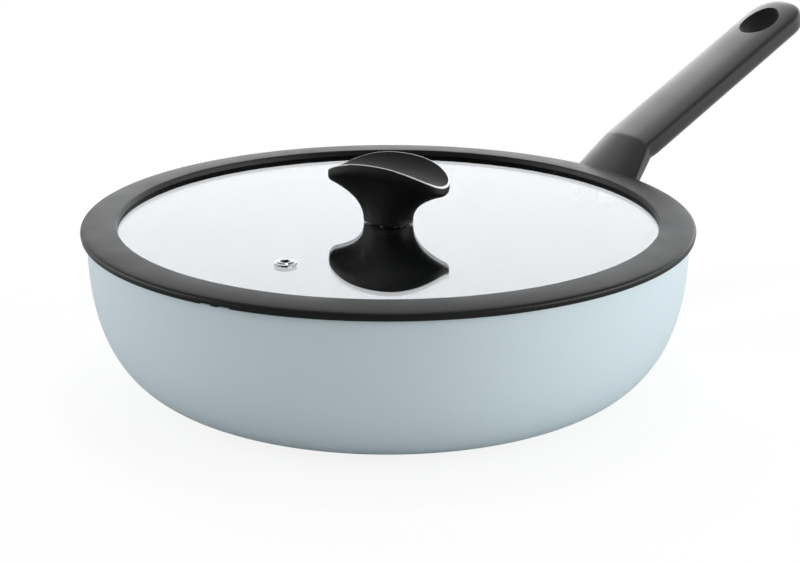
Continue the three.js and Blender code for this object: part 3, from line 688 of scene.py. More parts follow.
def wall_radius(pan, z, floor, offset):
    """Radius of that wall at a level."""
    left = ((pan.height - z) / (pan.height - floor)) ** pan.roundness
    spread = pan.rim_radius - pan.base_radius
    return pan.base_radius + offset + spread * (1 - left) ** (1 / pan.roundness)


def pan_outline(pan):
    """Section of the pan from the middle of its underside, up the wall, over the rim and down to
    the floor."""
    outer = wall_line(pan, 0, 0)
    inner = wall_line(pan, pan.floor, -pan.wall)[::-1]
    start = [[0, pan.recess_depth], [pan.recess_radius, pan.recess_depth], [pan.recess_radius, 0]]
    corners = np.concatenate([start, outer, inner, [[0, pan.floor]]])
    radii = np.zeros(len(corners))
    recess_edge = len(start) - 1
    radii[recess_edge] = pan.recess_round
    lip = recess_edge + len(outer)
    radii[[lip, lip + 1]] = pan.lip_round
    return rounded(corners, radii)


def rim_outline(rim, glass_radius):
    """Section of the soft rim. Its face is crowned: over the width u from 0 inside to 1 outside the
    level is crest - fall u^2. A channel holds the glass, and a lip reaches into the pan."""
    inner = rim.radius - rim.face_width
    foot = inner - rim.inner_lean
    groove = glass_radius + rim.groove_gap
    top = glass_high.z + TOUCH_GAP
    bottom = glass_low.z - TOUCH_GAP
    u = np.linspace(0, rim.face_end, FACE_STEPS)[1:]
    face = np.stack([inner + rim.face_width * u, rim.crest - rim.face_fall * u ** 2], -1)
    corners = [
        [foot, top],
        [inner, rim.crest],
        *face,
        [rim.radius, rim.crest - rim.face_fall],
        [rim.radius - rim.undercut, rim.seat],
        [rim.plug_radius, rim.seat],
        [rim.plug_radius, rim.lip],
        [rim.plug_radius - rim.plug_width, rim.lip],
        [foot, (rim.lip + bottom) / 2],
        [foot, bottom],
        [groove, bottom],
        [groove, top],
    ]
    outside = [rim.edge_round, rim.foot_round]
    lip = [rim.small_round, rim.lip_round, rim.lip_round, rim.slope_round]
    channel = [rim.small_round, EDGE_BREAK, EDGE_BREAK]
    radii = [rim.glass_round, rim.crest_round, *[0] * len(face), *outside, *lip, *channel]
    return rounded(corners, radii, steps=6)


def rim_angles(rim, steps):
    """Even steps round the rim, with fine steps across the two notches."""
    half = (rim.notch_pitch + rim.notch_width) / rim.radius
    fine = rim.notch_turn + np.linspace(-half, half, NOTCH_STEPS)
    even = full_turn(steps) - np.pi
    outside = np.abs(even - rim.notch_turn) > half
    return np.sort(np.concatenate([even[outside], fine]))


def notched(rim, grid, angles):
    """Lifts the rim's resting edge by depth times a soft box across each notch, which fades up the
    outer side."""
    side = np.abs(np.abs(angles - rim.notch_turn) * rim.radius - rim.notch_pitch / 2)
    box = 1 - smooth_step((side - (rim.notch_width - rim.notch_soft) / 2) / rim.notch_soft)
    r = np.linalg.norm(grid[..., :2], axis=-1)
    z = grid[..., 2]
    fade = np.clip(1 - (z - rim.seat) / rim.notch_fade, 0, 1)
    resting = (r > rim.plug_radius + rim.notch_inset) & (z > rim.seat - WELD)
    lifted = grid.copy()
    lifted[..., 2] += rim.notch_depth * box * fade * resting
    return lifted


def knob_top(knob, x, y):
    """Saddle of the knob: highest along the long edges, lowest at the tips,
    z = middle - (middle - tip) (2x/length)^2 + dish (2y/width)^2."""
    middle = knob.side_height - knob.dish
    fall = (middle - knob.tip_height) * (2 * x / knob.length) ** 2
    return middle - fall + knob.dish * (2 * y / knob.width) ** 2


def knob_grid(knob, steps):
    """Rows of the knob from its bore, over the foot, up the flaring neck, round the band and in over
    the top. The neck goes from the foot's oval to the rim's as t^2 while the height is
    h (2t(1-t) flare + t^2). An arc under the band replaces the last rows of the neck."""
    lead, spare = 6, 3  # rows back from the neck's end: the arc's direction, and what it replaces
    slope_share, dish_share = 0.85, 0.93  # shares of the way out: the top's slope, its first row
    angles = full_turn(steps)
    rim_x, rim_y = oval(knob.length, knob.width, knob.roundness, angles)
    foot_x, foot_y = oval(knob.neck_length, knob.neck_width, knob.roundness, angles)
    crown = knob_top(knob, rim_x, rim_y)
    t = np.linspace(0, 1, NECK_STEPS)[:, None]
    spread = t ** 2
    rise = (crown - knob.edge) * (2 * t * (1 - t) * knob.flare + spread)
    neck_x = foot_x + (rim_x - foot_x) * spread
    neck_y = foot_y + (rim_y - foot_y) * spread
    neck = np.stack([neck_x, neck_y, rise], -1)
    under = neck[-1]
    over = np.stack([rim_x, rim_y, crown], -1)
    s = np.array([slope_share, *np.linspace(dish_share, 0, DISH_STEPS)])[:, None]
    top = np.stack([rim_x * s, rim_y * s, knob_top(knob, rim_x * s, rim_y * s)], -1)
    low_arc = corner_rows(neck[-lead], under, over, knob.under_round)
    high_arc = corner_rows(under, over, top[0], knob.top_round)
    bore_x = knob.bore_radius * np.cos(angles)
    bore_y = knob.bore_radius * np.sin(angles)
    start = np.stack([
        level_row(0 * bore_x, 0 * bore_y, knob.bore_depth),
        level_row(bore_x, bore_y, knob.bore_depth),
        level_row(bore_x, bore_y, 0),
    ])
    rows = np.concatenate([start, neck[:-spare], low_arc, high_arc, top[1:]])
    return placed(rows, knob.turn, (0, 0, knob.base))


def corner_rows(before, corner, after, reach, steps=5):
    """Rows of arcs that round a corner line; each of its points has its own neighbours."""
    back = before - corner
    ahead = after - corner
    back /= np.linalg.norm(back, axis=-1, keepdims=True)
    ahead /= np.linalg.norm(ahead, axis=-1, keepdims=True)
    half = np.arccos(np.clip((back * ahead).sum(-1, keepdims=True), -1, 1)) / 2
    return arc(corner + back * reach, corner, corner + ahead * reach, np.sin(half), steps)


def placed(grid, turn, move):
    """Turns a grid about Z and moves it."""
    c, s = math.cos(turn), math.sin(turn)
    return grid @ np.array([[c, s, 0], [-s, c, 0], [0, 0, 1]]) + np.asarray(move)


def leaned(grid, lean, move):
    """Tips a grid so that its X axis rises by an angle, and moves it."""
    c, s = math.cos(lean), math.sin(lean)
    return grid @ np.array([[c, 0, s], [0, 1, 0], [-s, 0, c]]) + np.asarray(move)


def handle_lines(handle, pan):
    """Bend and root of the handle's middle line and the slope of its collar."""
    bend = np.array([pan.rim_radius + handle.bend_reach, 0, pan.height + handle.bend_rise])
    middle = pan.height - (handle.collar_top + handle.collar_bottom) / 2
    root = np.array([pan.rim_radius - handle.collar_sink, 0, middle])
    run = bend - root
    return bend, root, math.atan2(run[2], run[0])


def sections(handle, middle, up, half_width, half_height, keel, under, slide, angles):
    """Rows of sections of the handle. A superellipse |x|^n + |y|^n = 1, boxy above and round below, is
    met by a crowned top y = 1 - crown x^2. The soft least of both, a and b, is
    (a + b - sqrt((a - b)^2 + ridge^2)) / 2. The keel narrows it towards the underside, by keel d^2 at
    the depth d = (1 - y^(n/2)) / 2. Its upper half moves by slide y along the grip."""
    cosine, sine = np.cos(angles), np.sin(angles)
    roundness = np.where(sine > 0, handle.top_roundness, under)
    size = (np.abs(cosine) ** roundness + np.abs(sine) ** roundness) ** (-1 / roundness)
    x, y = size * cosine, size * sine
    crown = 1 - handle.crown * x ** 2
    top = (y + crown - np.sqrt((y - crown) ** 2 + handle.ridge ** 2)) / 2
    depth = (1 - signed_power(y, roundness / 2)) / 2
    across = half_width * x * (1 - keel * depth ** 2)
    rise = half_height * top
    out = slide * np.maximum(top, 0)
    sideways = np.array([0, 1.0, 0])
    flat = middle[:, None] + across[..., None] * sideways + out[..., None] * grip_line(handle)
    return flat + rise[..., None] * up[:, None]


def grip_line(handle):
    return np.array([math.cos(handle.tilt), 0, math.sin(handle.tilt)])


def handle_grid(handle, pan, steps):
    """Skin of the handle: the collar's sections lead from its root to a mitre at the bend, the grip's
    run straight, and over the last half width the tip closes as sqrt(1 - s^2) across and
    sqrt(1 - s^4) in height."""
    angles = full_turn(steps)
    bend, root, slope = handle_lines(handle, pan)
    half_width, half_height = handle.width / 2, handle.thickness / 2
    along = grip_line(handle)
    up = np.array([-math.sin(handle.tilt), 0, math.cos(handle.tilt)])
    mitre = (slope + handle.tilt) / 2
    mitre_up = np.array([-math.sin(mitre), 0, math.cos(mitre)])
    mitre_height = half_height / math.cos(mitre - handle.tilt)
    root_height = (handle.collar_bottom - handle.collar_top) / 2
    s = np.linspace(0, 1, COLLAR_STEPS)[:-1, None]
    lean = (1 - s) * np.array([0, 0, 1.0]) + s * mitre_up
    lean /= np.linalg.norm(lean, axis=1, keepdims=True)
    fade = np.clip(2 * s - 1, 0, 1)
    collar = sections(
        handle, root + s * (bend - root), lean,
        (1 - s) * handle.collar_width / 2 + s * half_width,
        (1 - s) * root_height + s * mitre_height,
        (1 - fade) * handle.keel + fade * handle.bend_keel,
        (1 - fade) * handle.collar_roundness + fade * handle.under_roundness,
        fade * handle.crease_slide, angles,
    )
    straight = handle.length - half_width
    bend_reach = np.linspace(0, half_height, BEND_STEPS)
    grip_reach = np.linspace(half_height, straight, GRIP_STEPS)[1:]
    reach = np.concatenate([bend_reach, grip_reach])[:, None]
    ease = smooth_step(reach / half_height)
    grip_up = (1 - ease) * mitre_up + ease * up
    grip_up /= np.linalg.norm(grip_up, axis=1, keepdims=True)
    under = handle.under_roundness + 0 * reach
    slide = handle.crease_slide * np.clip(1 - reach / half_height, 0, 1)
    grip = sections(
        handle, bend + reach * along, grip_up,
        half_width + 0 * reach,
        (1 - ease) * mitre_height + ease * half_height,
        (1 - ease) * handle.bend_keel,
        under, slide, angles,
    )
    s = np.sin(np.linspace(0, np.pi / 2, TIP_STEPS)[1:])[:, None]
    tip = sections(
        handle, bend + (straight + s * half_width) * along, up + 0 * s,
        half_width * np.sqrt(1 - s ** 2),
        half_height * np.sqrt(1 - s ** 4),
        0 * s,
        handle.under_roundness + 0 * s, 0 * s, angles,
    )
    start = np.repeat(root[None, None], steps, axis=1)
    return np.concatenate([start, collar, grip, tip])


def hole_cutter(handle, pan, steps):
    """Oval bore through the grip that flares by an arc and a straight skirt where it meets its faces.
    With q = 2y/width its upper levels follow the crown, height (1 - crown q^2), its lower ones the
    round, height (1 - |q|^n)^(1/n)."""
    angles = full_turn(steps)
    curve = np.linspace(0, handle.hole_flare, FLARE_STEPS)
    soft = handle.hole_round
    skirt = 2 * soft
    grow = soft * (1 - np.cos(curve))
    grow = np.append(grow, grow[-1] + skirt)
    below = soft * (np.sin(curve) - np.sin(curve[-1]))
    below = np.append(below, skirt / math.tan(handle.hole_flare))
    x = (handle.hole_length / 2 + grow[:, None]) * np.cos(angles)
    y = (handle.hole_width / 2 + grow[:, None]) * np.sin(angles)
    q = 2 * y / handle.width
    crown = 1 - handle.crown * q ** 2
    belly = (1 - np.abs(q) ** handle.under_roundness) ** (1 / handle.under_roundness)
    upper = np.stack([x, y, handle.thickness / 2 * crown + below[:, None]], -1)
    lower = np.stack([x, y, -handle.thickness / 2 * belly - below[:, None]], -1)[::-1]
    foot = 0 * lower[:1] + lower[0].mean(0)
    head = 0 * upper[:1] + upper[-1].mean(0)
    rows = np.concatenate([foot, lower, upper, head])
    rows[..., 0] += handle.length - handle.hole_setback
    bend, _, _ = handle_lines(handle, pan)
    return leaned(rows, handle.tilt, bend)


def screw_outline(handle, shank):
    """Section of a pan-head screw that points up: its head hangs below level 0 and its shank rises
    above. The dome and the point are shares of the head's size and of the shank's radius."""
    radius, head, high = handle.screw_radius, handle.head_radius, handle.head_height
    corners = [
        [0, -high], [0.62 * head, -0.97 * high], [head, -0.45 * high], [head, 0],
        [radius, 0], [radius, shank - 0.3 * radius], [0.7 * radius, shank], [0, shank],
    ]
    dome, brim = 0.5 * high, 0.08 * high
    radii = [0, dome, dome, brim, EDGE_BREAK, EDGE_BREAK, EDGE_BREAK, 0]
    return rounded(corners, radii, steps=6)


def cross_cutters(name, depth, level):
    """Two crossed blades, which sink a cross recess into a screw head from below. They taper from the
    mouth to the end, as shares of their half length and half width."""
    long_half, short_half, mouth, end = 0.0021, 0.00042, 1.3, 0.7
    corners = np.array([[-1, -1], [1, -1], [1, 1], [-1, 1]], float)
    size = np.array([long_half, short_half])
    z = np.array([level - depth, level - depth, level + depth, level + depth])
    scale = np.array([0, mouth, end, 0])
    flat = corners[None] * size * scale[:, None, None]
    rows = np.concatenate([flat, np.broadcast_to(z[:, None, None], (4, 4, 1))], -1)
    crossed = rows[..., [1, 0, 2]]
    return make_solid(name + "_blade_a", rows), make_solid(name + "_blade_b", crossed)


def washer_outline(inner, outer, low, high):
    """Section of a flat ring with rounded edges."""
    corners = [[inner, low], [outer, low], [outer, high], [inner, high]]
    return rounded(corners, [WASHER_ROUND] * 4, steps=4)


def eyelet_outline():
    """Section of the eyelet: flange and raised bead on the glass, a tube through it and a flange
    rolled out below."""
    flange = (eyelet_high.x - eyelet_low.x) / 2
    tube, bore, roll = 0.0031, 0.0022, 0.0046
    bead_foot, bead_out, bead_in = 0.0040, 0.0033, 0.0025
    bottom = glass_high.z + TOUCH_GAP
    edge_level, foot_level = bottom + 0.0004, bottom + 0.0005
    roll_top = vent_washer_low.z - TOUCH_GAP
    corners = [
        [bore, eyelet_low.z], [roll, eyelet_low.z], [roll, roll_top], [tube, roll_top], [tube, bottom],
        [flange, bottom], [flange, edge_level], [bead_foot, foot_level], [bead_out, eyelet_high.z],
        [bead_in, eyelet_high.z], [bore, foot_level],
    ]
    soft, hollow, bead = 0.0003, 0.0005, 0.0004
    radii = [*[WASHER_ROUND] * 5, EDGE_BREAK, soft, hollow, bead, bead, soft]
    return rounded(corners, radii, steps=6)


# Operators

class PAN_OT_build_body(bpy.types.Operator):
    """Pan body with its lacquered outside, coated inside and turned base, and the steel plate in it"""

    bl_idname = "pan.build_body"
    bl_label = "Build pan body"

    def execute(self, context):
        settings = context.scene.pan_settings
        pan = settings.pan
        shell = make_solid("pan_shell", turned(pan_outline(pan), full_turn(settings.turns)))
        colours = settings.colours
        finishes = [sprayed_lacquer(colours), mineral_nonstick(colours), turned_aluminium(colours)]
        dress(shell, "pan", "pan_body", finishes)
        self.coat(shell.data, pan)
        finish_node("induction_plate", spun_steel(colours))
        return {"FINISHED"}

    def coat(self, mesh, pan):
        """Coating on faces inside the middle of the wall, bare metal on the base and in its recess."""
        lacquer, coating, metal = range(len(mesh.materials))
        x, y, z = face_middles(mesh).T
        r = np.hypot(x, y)
        half_floor = pan.floor / 2
        held = np.clip(z, half_floor, pan.height)
        inside = (z > half_floor) & (r < wall_radius(pan, held, half_floor, -pan.wall / 2))
        base = (z < half_floor) & (r < pan.base_radius - pan.base_edge)
        which = np.where(base, metal, np.where(inside, coating, lacquer))
        mesh.polygons.foreach_set("material_index", which.astype(np.int32))


class PAN_OT_build_handle(bpy.types.Operator):
    """Handle with its collar, straight grip, hanging hole and screw recess"""

    bl_idname = "pan.build_handle"
    bl_label = "Build handle"

    def execute(self, context):
        settings = context.scene.pan_settings
        handle, pan = settings.handle, settings.pan
        bend, _, slope = handle_lines(handle, pan)
        grip = make_solid("handle_skin", handle_grid(handle, pan, GRIP_TURNS))
        angles = full_turn(settings.turns)
        outside = wall_line(pan, 0, handle.wall_gap)
        plug = np.concatenate([[[0, 0]], outside, [[0, pan.height]]])
        wall = make_solid("wall_space", turned(plug, angles))
        lid_reach = settings.rim.radius + handle.lid_gap
        lid_path = self.rod(lid_reach, pan.height - handle.wall_gap, bend[2] + handle.length)
        path = make_solid("lid_space", turned(lid_path, angles))
        hole = make_solid("hole_space", hole_cutter(handle, pan, HOLE_TURNS))
        wide = max(handle.washer_radius, handle.head_radius) + handle.wall_gap
        recess = self.rod(wide, -CUTTER_REACH, -handle.washer_top + handle.wall_gap)
        pocket = turned(recess, full_turn(settings.small_turns))
        pocket[..., 0] -= handle.screw_setback
        screw = make_solid("screw_space", leaned(pocket, slope, bend))
        carve(grip, [wall, path, hole, screw])
        dress(grip, "pan", "handle_grip", [soft_touch(settings.colours)], sharp=30)
        return {"FINISHED"}

    def rod(self, radius, low, high):
        """Section of a plain cylinder about the axis."""
        return np.array([[0, low], [radius, low], [radius, high], [0, high]])


class PAN_OT_fasten_handle(bpy.types.Operator):
    """Rivets, bracket, screw and washer that hold the handle to the pan"""

    bl_idname = "pan.fasten_handle"
    bl_label = "Fasten handle"

    def execute(self, context):
        settings = context.scene.pan_settings
        handle, pan = settings.handle, settings.pan
        bend, root, slope = handle_lines(handle, pan)
        turns = full_turn(settings.small_turns)
        level = root[2] + handle.collar_sink * math.tan(slope)
        lean = math.asin(handle.rivet_spacing / 2 / pan.rim_radius)
        alloy = headed_aluminium(settings.colours)
        for name, turn in (("left", lean), ("right", -lean)):
            grid = turned(self.rivet_outline(handle, pan, level), turns)
            radial = grid[..., [2, 1, 0]] + np.array([pan.rim_radius, 0, level])
            rivet = make_solid("rivet_" + name, placed(radial, turn, (0, 0, 0)))
            dress(rivet, "pan", "handle_rivet_" + name, [alloy])
        plated = shared(zinc_plate, settings.colours)
        low = -handle.washer_top - handle.washer_thickness
        head_top = low - handle.wall_gap
        outline = screw_outline(handle, handle.screw_end - head_top)
        upright = turned(outline, turns) + np.array([-handle.screw_setback, 0, head_top])
        screw = make_solid("collar_screw", leaned(upright, slope, bend))
        dress(screw, "pan", "handle_screw", [plated])
        inner = handle.screw_radius + handle.wall_gap
        ring = washer_outline(inner, handle.washer_radius, low, -handle.washer_top)
        flat = turned(ring, turns) - np.array([handle.screw_setback, 0, 0])
        washer = make_solid("collar_washer", leaned(flat, slope, bend), True)
        dress(washer, "pan", "handle_screw_washer", [plated])
        finish_node("handle_bracket", pressed_steel(settings.colours))
        return {"FINISHED"}

    def rivet_outline(self, handle, pan, level):
        """Section of a rivet along its axis, measured from the wall's outside: domed head, shank and
        upset tail. The head is pressed a little into the curved wall."""
        flat_share, fall, pressed = 0.55, 0.0001, 0.0004
        dome, brim, tail_root, tail_edge = 0.004, 0.0006, 0.0003, 0.0006
        head, shank, upset = handle.rivet_head, handle.rivet_radius, handle.rivet_tail
        seat = wall_radius(pan, level, pan.floor, -pan.wall) - pan.rim_radius
        edge = seat - handle.wall_gap
        face = edge - handle.rivet_head_height
        under = seat + pressed
        tail = rivet_high.x - pan.rim_radius
        root = tail - handle.rivet_tail_height
        corners = [
            [0, face], [flat_share * head, face + fall], [head, edge], [head, under],
            [shank, under], [shank, root], [upset, root], [upset, tail], [0, tail],
        ]
        radii = [0, dome, brim, EDGE_BREAK, 0, 0, tail_root, tail_edge, 0]
        return rounded(corners, radii, steps=7)


class PAN_OT_build_rim(bpy.types.Operator):
    """Soft rim of the lid with its crowned face and two steam notches"""

    bl_idname = "pan.build_rim"
    bl_label = "Build lid rim"

    def execute(self, context):
        settings = context.scene.pan_settings
        rim = settings.rim
        angles = rim_angles(rim, settings.turns)
        grid = notched(rim, turned(rim_outline(rim, glass_high.y), angles), angles)
        band = make_solid("rim_band", grid, True)
        rubber = shared(moulded_silicone, settings.colours)
        dress(band, "lid", "lid_rim", [rubber], sharp=50)
        return {"FINISHED"}


class PAN_OT_build_glass(bpy.types.Operator):
    """Clear finish of the lid's glass"""

    bl_idname = "pan.build_glass"
    bl_label = "Finish lid glass"

    def execute(self, context):
        finish_node("lid_glass", tempered_glass(context.scene.pan_settings.colours))
        return {"FINISHED"}


class PAN_OT_build_vent(bpy.types.Operator):
    """Steam vent: the eyelet through the glass and the washer below it"""

    bl_idname = "pan.build_vent"
    bl_label = "Build steam vent"

    def execute(self, context):
        settings = context.scene.pan_settings
        turns = full_turn(settings.small_turns)
        place = np.array([(eyelet_low.x + eyelet_high.x) / 2, (eyelet_low.y + eyelet_high.y) / 2, 0])
        eyelet = make_solid("vent_ring", turned(eyelet_outline(), turns) + place, True)
        dress(eyelet, "lid", "vent_eyelet", [polished_steel(settings.colours)], sharp=60)
        outer = (vent_washer_high.x - vent_washer_low.x) / 2
        ring = washer_outline(VENT_SEAL_BORE, outer, vent_washer_low.z, vent_washer_high.z)
        washer = make_solid("vent_seal", turned(ring, turns) + place, True)
        rubber = shared(moulded_silicone, settings.colours)
        dress(washer, "lid", "vent_washer", [rubber])
        return {"FINISHED"}


class PAN_OT_build_knob(bpy.types.Operator):
    """Saddle-shaped knob on its oval neck"""

    bl_idname = "pan.build_knob"
    bl_label = "Build knob"

    def execute(self, context):
        settings = context.scene.pan_settings
        knob = make_solid("knob_skin", knob_grid(settings.knob, KNOB_TURNS))
        # The second finish is a painted highlight: a pale line along the knob's upper edge.
        finishes = [moulded_phenolic(settings.colours), buffed_phenolic(settings.colours)]
        dress(knob, "lid", "lid_knob", finishes, sharp=50)
        self.buff(knob.data, settings.knob)
        return {"FINISHED"}

    def buff(self, mesh, knob):
        """Painted highlight on a line along the upper edge. The way in from the oval |X|^n + |Y|^n = 1,
        with
        X = 2x/length and Y = 2y/width, is what the left side lacks to 1 over its slope."""
        x, y, z = placed(face_middles(mesh), -knob.turn, (0, 0, -knob.base)).T
        share_x, share_y = np.abs(2 * x / knob.length), np.abs(2 * y / knob.width)
        power = knob.roundness
        slope_x = 2 / knob.length * share_x ** (power - 1)
        slope_y = 2 / knob.width * share_y ** (power - 1)
        left = 1 - share_x ** power - share_y ** power
        near = left < knob.edge_line * power * np.hypot(slope_x, slope_y)
        # Faces on that line take the painted highlight.
        edge = near & (knob_top(knob, x, y) - z < knob.edge_line)
        mesh.polygons.foreach_set("material_index", edge.astype(np.int32))


class PAN_OT_fasten_knob(bpy.types.Operator):
    """Gasket, bush, washer, screw and insert that hold the knob to the glass"""

    bl_idname = "pan.fasten_knob"
    bl_label = "Fasten knob"

    def execute(self, context):
        settings = context.scene.pan_settings
        handle = settings.handle
        turns = full_turn(settings.small_turns)
        rubber = shared(moulded_silicone, settings.colours)
        inner = handle.screw_radius + handle.wall_gap
        gasket = make_solid("knob_seal", self.gasket_grid(settings.knob, inner, turns), True)
        dress(gasket, "lid", "knob_gasket", [rubber])
        flange_top = glass_low.z - TOUCH_GAP
        corners = [
            [inner, bush_low.z], [bush_high.y, bush_low.z], [bush_high.y, flange_top],
            [BUSH_SLEEVE, flange_top], [BUSH_SLEEVE, bush_high.z], [inner, bush_high.z],
        ]
        outline = rounded(corners, [WASHER_ROUND] * len(corners), steps=4)
        bush = make_solid("glass_sleeve", turned(outline, turns), True)
        dress(bush, "lid", "glass_bush", [rubber])
        plated = shared(zinc_plate, settings.colours)
        ring = washer_outline(inner, knob_washer_high.y, knob_washer_low.z, knob_washer_high.z)
        washer = make_solid("knob_washer", turned(ring, turns), True)
        dress(washer, "lid", "knob_screw_washer", [plated])
        seat = knob_screw_low.z + handle.head_height
        upright = turned(screw_outline(handle, knob_screw_high.z - seat), turns)
        screw = make_solid("knob_bolt", upright + np.array([0, 0, seat]))
        carve(screw, cross_cutters("cross", CROSS_DEPTH, knob_screw_low.z))
        dress(screw, "lid", "knob_screw", [plated])
        finish_node("knob_insert", turned_brass(settings.colours))
        return {"FINISHED"}

    def gasket_grid(self, knob, bore, angles):
        """Rows round a flat gasket: a round bore, and an oval edge with an even inset from the foot."""
        inset = 2 * knob.gasket_inset
        edge = oval(knob.neck_length - inset, knob.neck_width - inset, knob.roundness, angles)
        hole = bore * np.cos(angles), bore * np.sin(angles)
        rows = np.stack([
            level_row(*hole, gasket_low.z),
            level_row(*edge, gasket_low.z),
            level_row(*edge, gasket_high.z),
            level_row(*hole, gasket_high.z),
        ])
        return placed(rows, knob.turn, (0, 0, 0))


class PAN_OT_set_stage(bpy.types.Operator):
    """Camera, lamps, pale floor and white surroundings"""

    bl_idname = "pan.set_stage"
    bl_label = "Set stage"

    def execute(self, context):
        scene = context.scene
        stage = scene.pan_settings.stage
        scene.view_settings.view_transform = "Standard"
        self.set_camera(scene, stage)
        self.set_lamps(scene, stage)
        self.set_sky(scene, stage)
        self.set_floor(stage)
        return {"FINISHED"}

    def set_camera(self, scene, stage):
        data = bpy.data.cameras.new("camera")
        data.lens = stage.lens
        data.sensor_width = SENSOR_WIDTH
        camera = bpy.data.objects.new("camera", data)
        camera.location = stage.camera_place
        aim = Vector(stage.camera_aim) - Vector(stage.camera_place)
        camera.rotation_euler = aim.to_track_quat("-Z", "Y").to_euler()
        scene.collection.objects.link(camera)
        scene.camera = camera

    def line_of_sight(self, stage):
        """Level direction away from the camera."""
        away = Vector(stage.camera_aim) - Vector(stage.camera_place)
        away.z = 0
        return away.normalized()

    def set_lamps(self, scene, stage):
        """Softboxes: to the right of, away from and above the lid, size and level. A softbox of area A
        and level L gives pi A L watts. Flags keep its light to the named pieces, or off them."""
        away = self.line_of_sight(stage)
        right = Vector((away.y, -away.x, 0))
        middle = Vector((0, 0, glass_high.z))
        grip, rim, knob = "handle_skin", "rim_band", "knob_skin"
        for name, side, back, rise, wide, high, level, flag, pieces in (
            ("lamp_back", 0.7, 1.6, 0.42, 2.8, 0.62, 1.4, "EXCLUDE", (knob,)),
            ("lamp_high", -0.3, 0.95, 1.15, 0.6, 0.5, 3.5, "EXCLUDE", (rim, knob)),
            ("lamp_knob", 0.95, 1.0, 1.0, 0.5, 0.5, 26.0, "INCLUDE", (knob,)),
            ("lamp_top", 0.15, 0.25, 1.7, 0.35, 0.35, 12.0, None, ()),
            ("lamp_grip", -0.03, 1.1, 0.64, 1.0, 1.1, 3.0, "INCLUDE", (grip,)),
            ("lamp_collar", -0.6, 1.05, 0.52, 0.5, 0.45, 7.0, "INCLUDE", (grip,)),
            ("lamp_right", 1.3, -0.3, 0.2, 1.6, 0.7, 4.3, "EXCLUDE", (grip,)),
            ("lamp_side", 1.3, -0.1, 0.3, 1.6, 0.9, 1.7, "INCLUDE", (grip,)),
            ("lamp_left", -1.5, 0.1, 0.3, 1.4, 0.9, 2.85, "EXCLUDE", (grip,)),
            ("lamp_rim_left", -0.75, 1.45, 0.28, 1.1, 0.45, 0.7, "INCLUDE", (rim, knob, grip)),
            ("lamp_rim_right", 0.75, 1.45, 0.28, 1.1, 0.45, 1.6, "INCLUDE", (rim,)),
        ):
            data = bpy.data.lights.new(name, "AREA")
            data.shape = "RECTANGLE"
            data.size = wide
            data.size_y = high
            data.energy = math.pi * wide * high * level
            lamp = bpy.data.objects.new(name, data)
            lamp.location = middle + side * right + back * away + Vector((0, 0, rise))
            lamp.rotation_euler = (middle - lamp.location).to_track_quat("-Z", "Y").to_euler()
            lamp.visible_camera = False
            scene.collection.objects.link(lamp)
            if flag:
                lamp.light_linking.receiver_collection = self.flagged(name + "_flag", flag, pieces)
        bpy.data.lights["lamp_back"].color = stage.daylight[:3]

    def flagged(self, name, flag, pieces):
        """Collection that tells a softbox which pieces it lights, or leaves dark."""
        held = bpy.data.collections.new(name)
        for piece in pieces:
            held.objects.link(bpy.data.objects[piece])
        for member in held.collection_objects:
            member.light_linking.link_state = flag
        return held

    def set_sky(self, scene, stage):
        """White to the camera. Gloss and glass see that white behind the object, and it fades towards
        the front as the cosine to the line of sight falls. All other rays see one plain level."""
        world = bpy.data.worlds.new("studio")
        world.use_nodes = True
        scene.world = world
        tree = world.node_tree
        tree.nodes.clear()
        away = self.line_of_sight(stage)
        ray = add(tree, "ShaderNodeTexCoord").outputs["Generated"]
        cosine = add(tree, "ShaderNodeVectorMath", {0: ray, 1: away}, operation="DOT_PRODUCT")
        backdrop = add(tree, "ShaderNodeMapRange", {
            "Value": cosine.outputs["Value"], "From Min": stage.fade_from, "From Max": stage.fade_to,
            "To Min": stage.front, "To Max": 1.0,
        })
        path = add(tree, "ShaderNodeLightPath")
        plain = add(tree, "ShaderNodeMix", {
            0: mirrored_rays(tree, path), 2: stage.sky, 3: backdrop.outputs["Result"],
        })
        level = add(tree, "ShaderNodeMix", {0: path.outputs["Is Camera Ray"], 2: plain.outputs[0], 3: 1.0})
        light = add(tree, "ShaderNodeBackground", {"Color": (1, 1, 1, 1), "Strength": level.outputs[0]})
        add(tree, "ShaderNodeOutputWorld", {"Surface": light.outputs["Background"]})

    def set_floor(self, stage):
        """Round pale floor."""
        angles = full_turn(FLOOR_TURNS)
        x = stage.floor_radius * np.cos(angles)
        y = stage.floor_radius * np.sin(angles)
        floor = make_solid("floor", np.stack([level_row(0 * x, 0 * y, 0), level_row(x, y, 0)]))
        floor.data.materials.append(self.floor_paper(stage))

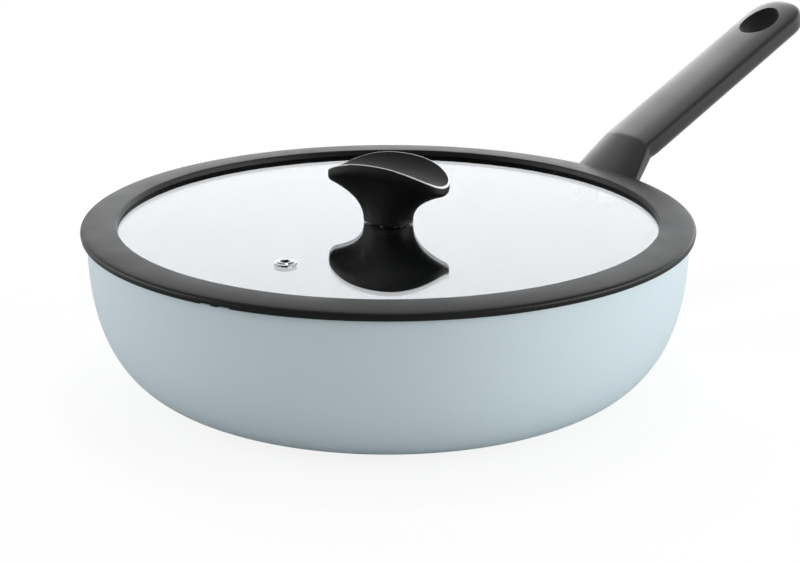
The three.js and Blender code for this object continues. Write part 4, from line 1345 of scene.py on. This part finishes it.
    def floor_paper(self, stage):
        """Matt paper. To the camera, and behind the object also in gloss and glass, part of its white
        is its own, so that it meets the white behind it and still keeps the object's shadow."""
        finish = bpy.data.materials.new("floor_paper")
        finish.use_nodes = True
        tree = finish.node_tree
        tree.nodes.clear()
        place = add(tree, "ShaderNodeTexCoord").outputs["Object"]
        fibre = add(tree, "ShaderNodeTexNoise", {"Vector": place, "Scale": per_size(0.003)})
        relief = add(tree, "ShaderNodeBump", {
            "Height": fibre.outputs["Fac"], "Distance": 0.0001, "Strength": 0.1,
        })
        paper = add(tree, "ShaderNodeBsdfDiffuse", {
            "Color": stage.floor, "Normal": relief.outputs["Normal"],
        })
        shade = stage.floor_shade
        grey = add(tree, "ShaderNodeBsdfDiffuse", {"Color": (shade, shade, shade, 1)})
        path = add(tree, "ShaderNodeLightPath")
        mirrored = mirrored_rays(tree, path)
        seen = add(tree, "ShaderNodeMath", {
            0: path.outputs["Is Camera Ray"], 1: mirrored,
        }, operation="MAXIMUM")
        away = self.line_of_sight(stage)
        depth = add(tree, "ShaderNodeVectorMath", {0: place, 1: away}, operation="DOT_PRODUCT")
        behind = add(tree, "ShaderNodeMapRange", {
            "Value": depth.outputs["Value"], "From Min": stage.floor_from, "From Max": stage.floor_to,
            "To Min": stage.front, "To Max": stage.floor_white,
        })
        level = add(tree, "ShaderNodeMix", {
            0: mirrored, 2: stage.floor_white, 3: behind.outputs["Result"],
        })
        own = add(tree, "ShaderNodeEmission", {"Color": (1, 1, 1, 1), "Strength": level.outputs[0]})
        white = add(tree, "ShaderNodeAddShader", {0: grey.outputs["BSDF"], 1: own.outputs["Emission"]})
        mixed = add(tree, "ShaderNodeMixShader", {
            0: seen.outputs["Value"], 1: paper.outputs["BSDF"], 2: white.outputs["Shader"],
        })
        add(tree, "ShaderNodeOutputMaterial", {"Surface": mixed.outputs["Shader"]})
        return finish


class PAN_PT_panel(bpy.types.Panel):
    """Sidebar panel with the operators and the sizes and colours that they read"""

    bl_label = "Deep Pan"
    bl_idname = "PAN_PT_panel"
    bl_space_type = "VIEW_3D"
    bl_region_type = "UI"
    bl_category = "Pan"

    def draw(self, context):
        settings = context.scene.pan_settings
        for operator in OPERATORS:
            self.layout.operator(operator.bl_idname)
        for name in ("pan", "rim", "knob", "handle", "colours", "stage"):
            group = getattr(settings, name)
            box = self.layout.box()
            box.label(text=name.capitalize())
            for key in group.__annotations__:
                box.prop(group, key)


GROUPS = (PanSizes, RimSizes, KnobSizes, HandleSizes, FinishColours, StageSettings, PanSettings)
OPERATORS = (
    PAN_OT_build_body,
    PAN_OT_build_handle,
    PAN_OT_fasten_handle,
    PAN_OT_build_rim,
    PAN_OT_build_glass,
    PAN_OT_build_vent,
    PAN_OT_build_knob,
    PAN_OT_fasten_knob,
    PAN_OT_set_stage,
)


def register():
    for group in GROUPS:
        bpy.utils.register_class(group)
    bpy.types.Scene.pan_settings = PointerProperty(type=PanSettings)
    for operator in OPERATORS:
        bpy.utils.register_class(operator)
    bpy.utils.register_class(PAN_PT_panel)


def unregister():
    bpy.utils.unregister_class(PAN_PT_panel)
    for operator in reversed(OPERATORS):
        bpy.utils.unregister_class(operator)
    del bpy.types.Scene.pan_settings
    for group in reversed(GROUPS):
        bpy.utils.unregister_class(group)


def main():
    register()
    bpy.ops.pan.build_body()
    bpy.ops.pan.build_handle()
    bpy.ops.pan.fasten_handle()
    bpy.ops.pan.build_rim()
    bpy.ops.pan.build_glass()
    bpy.ops.pan.build_vent()
    bpy.ops.pan.build_knob()
    bpy.ops.pan.fasten_knob()
    bpy.ops.pan.set_stage()


if __name__ == "__main__":
    main()
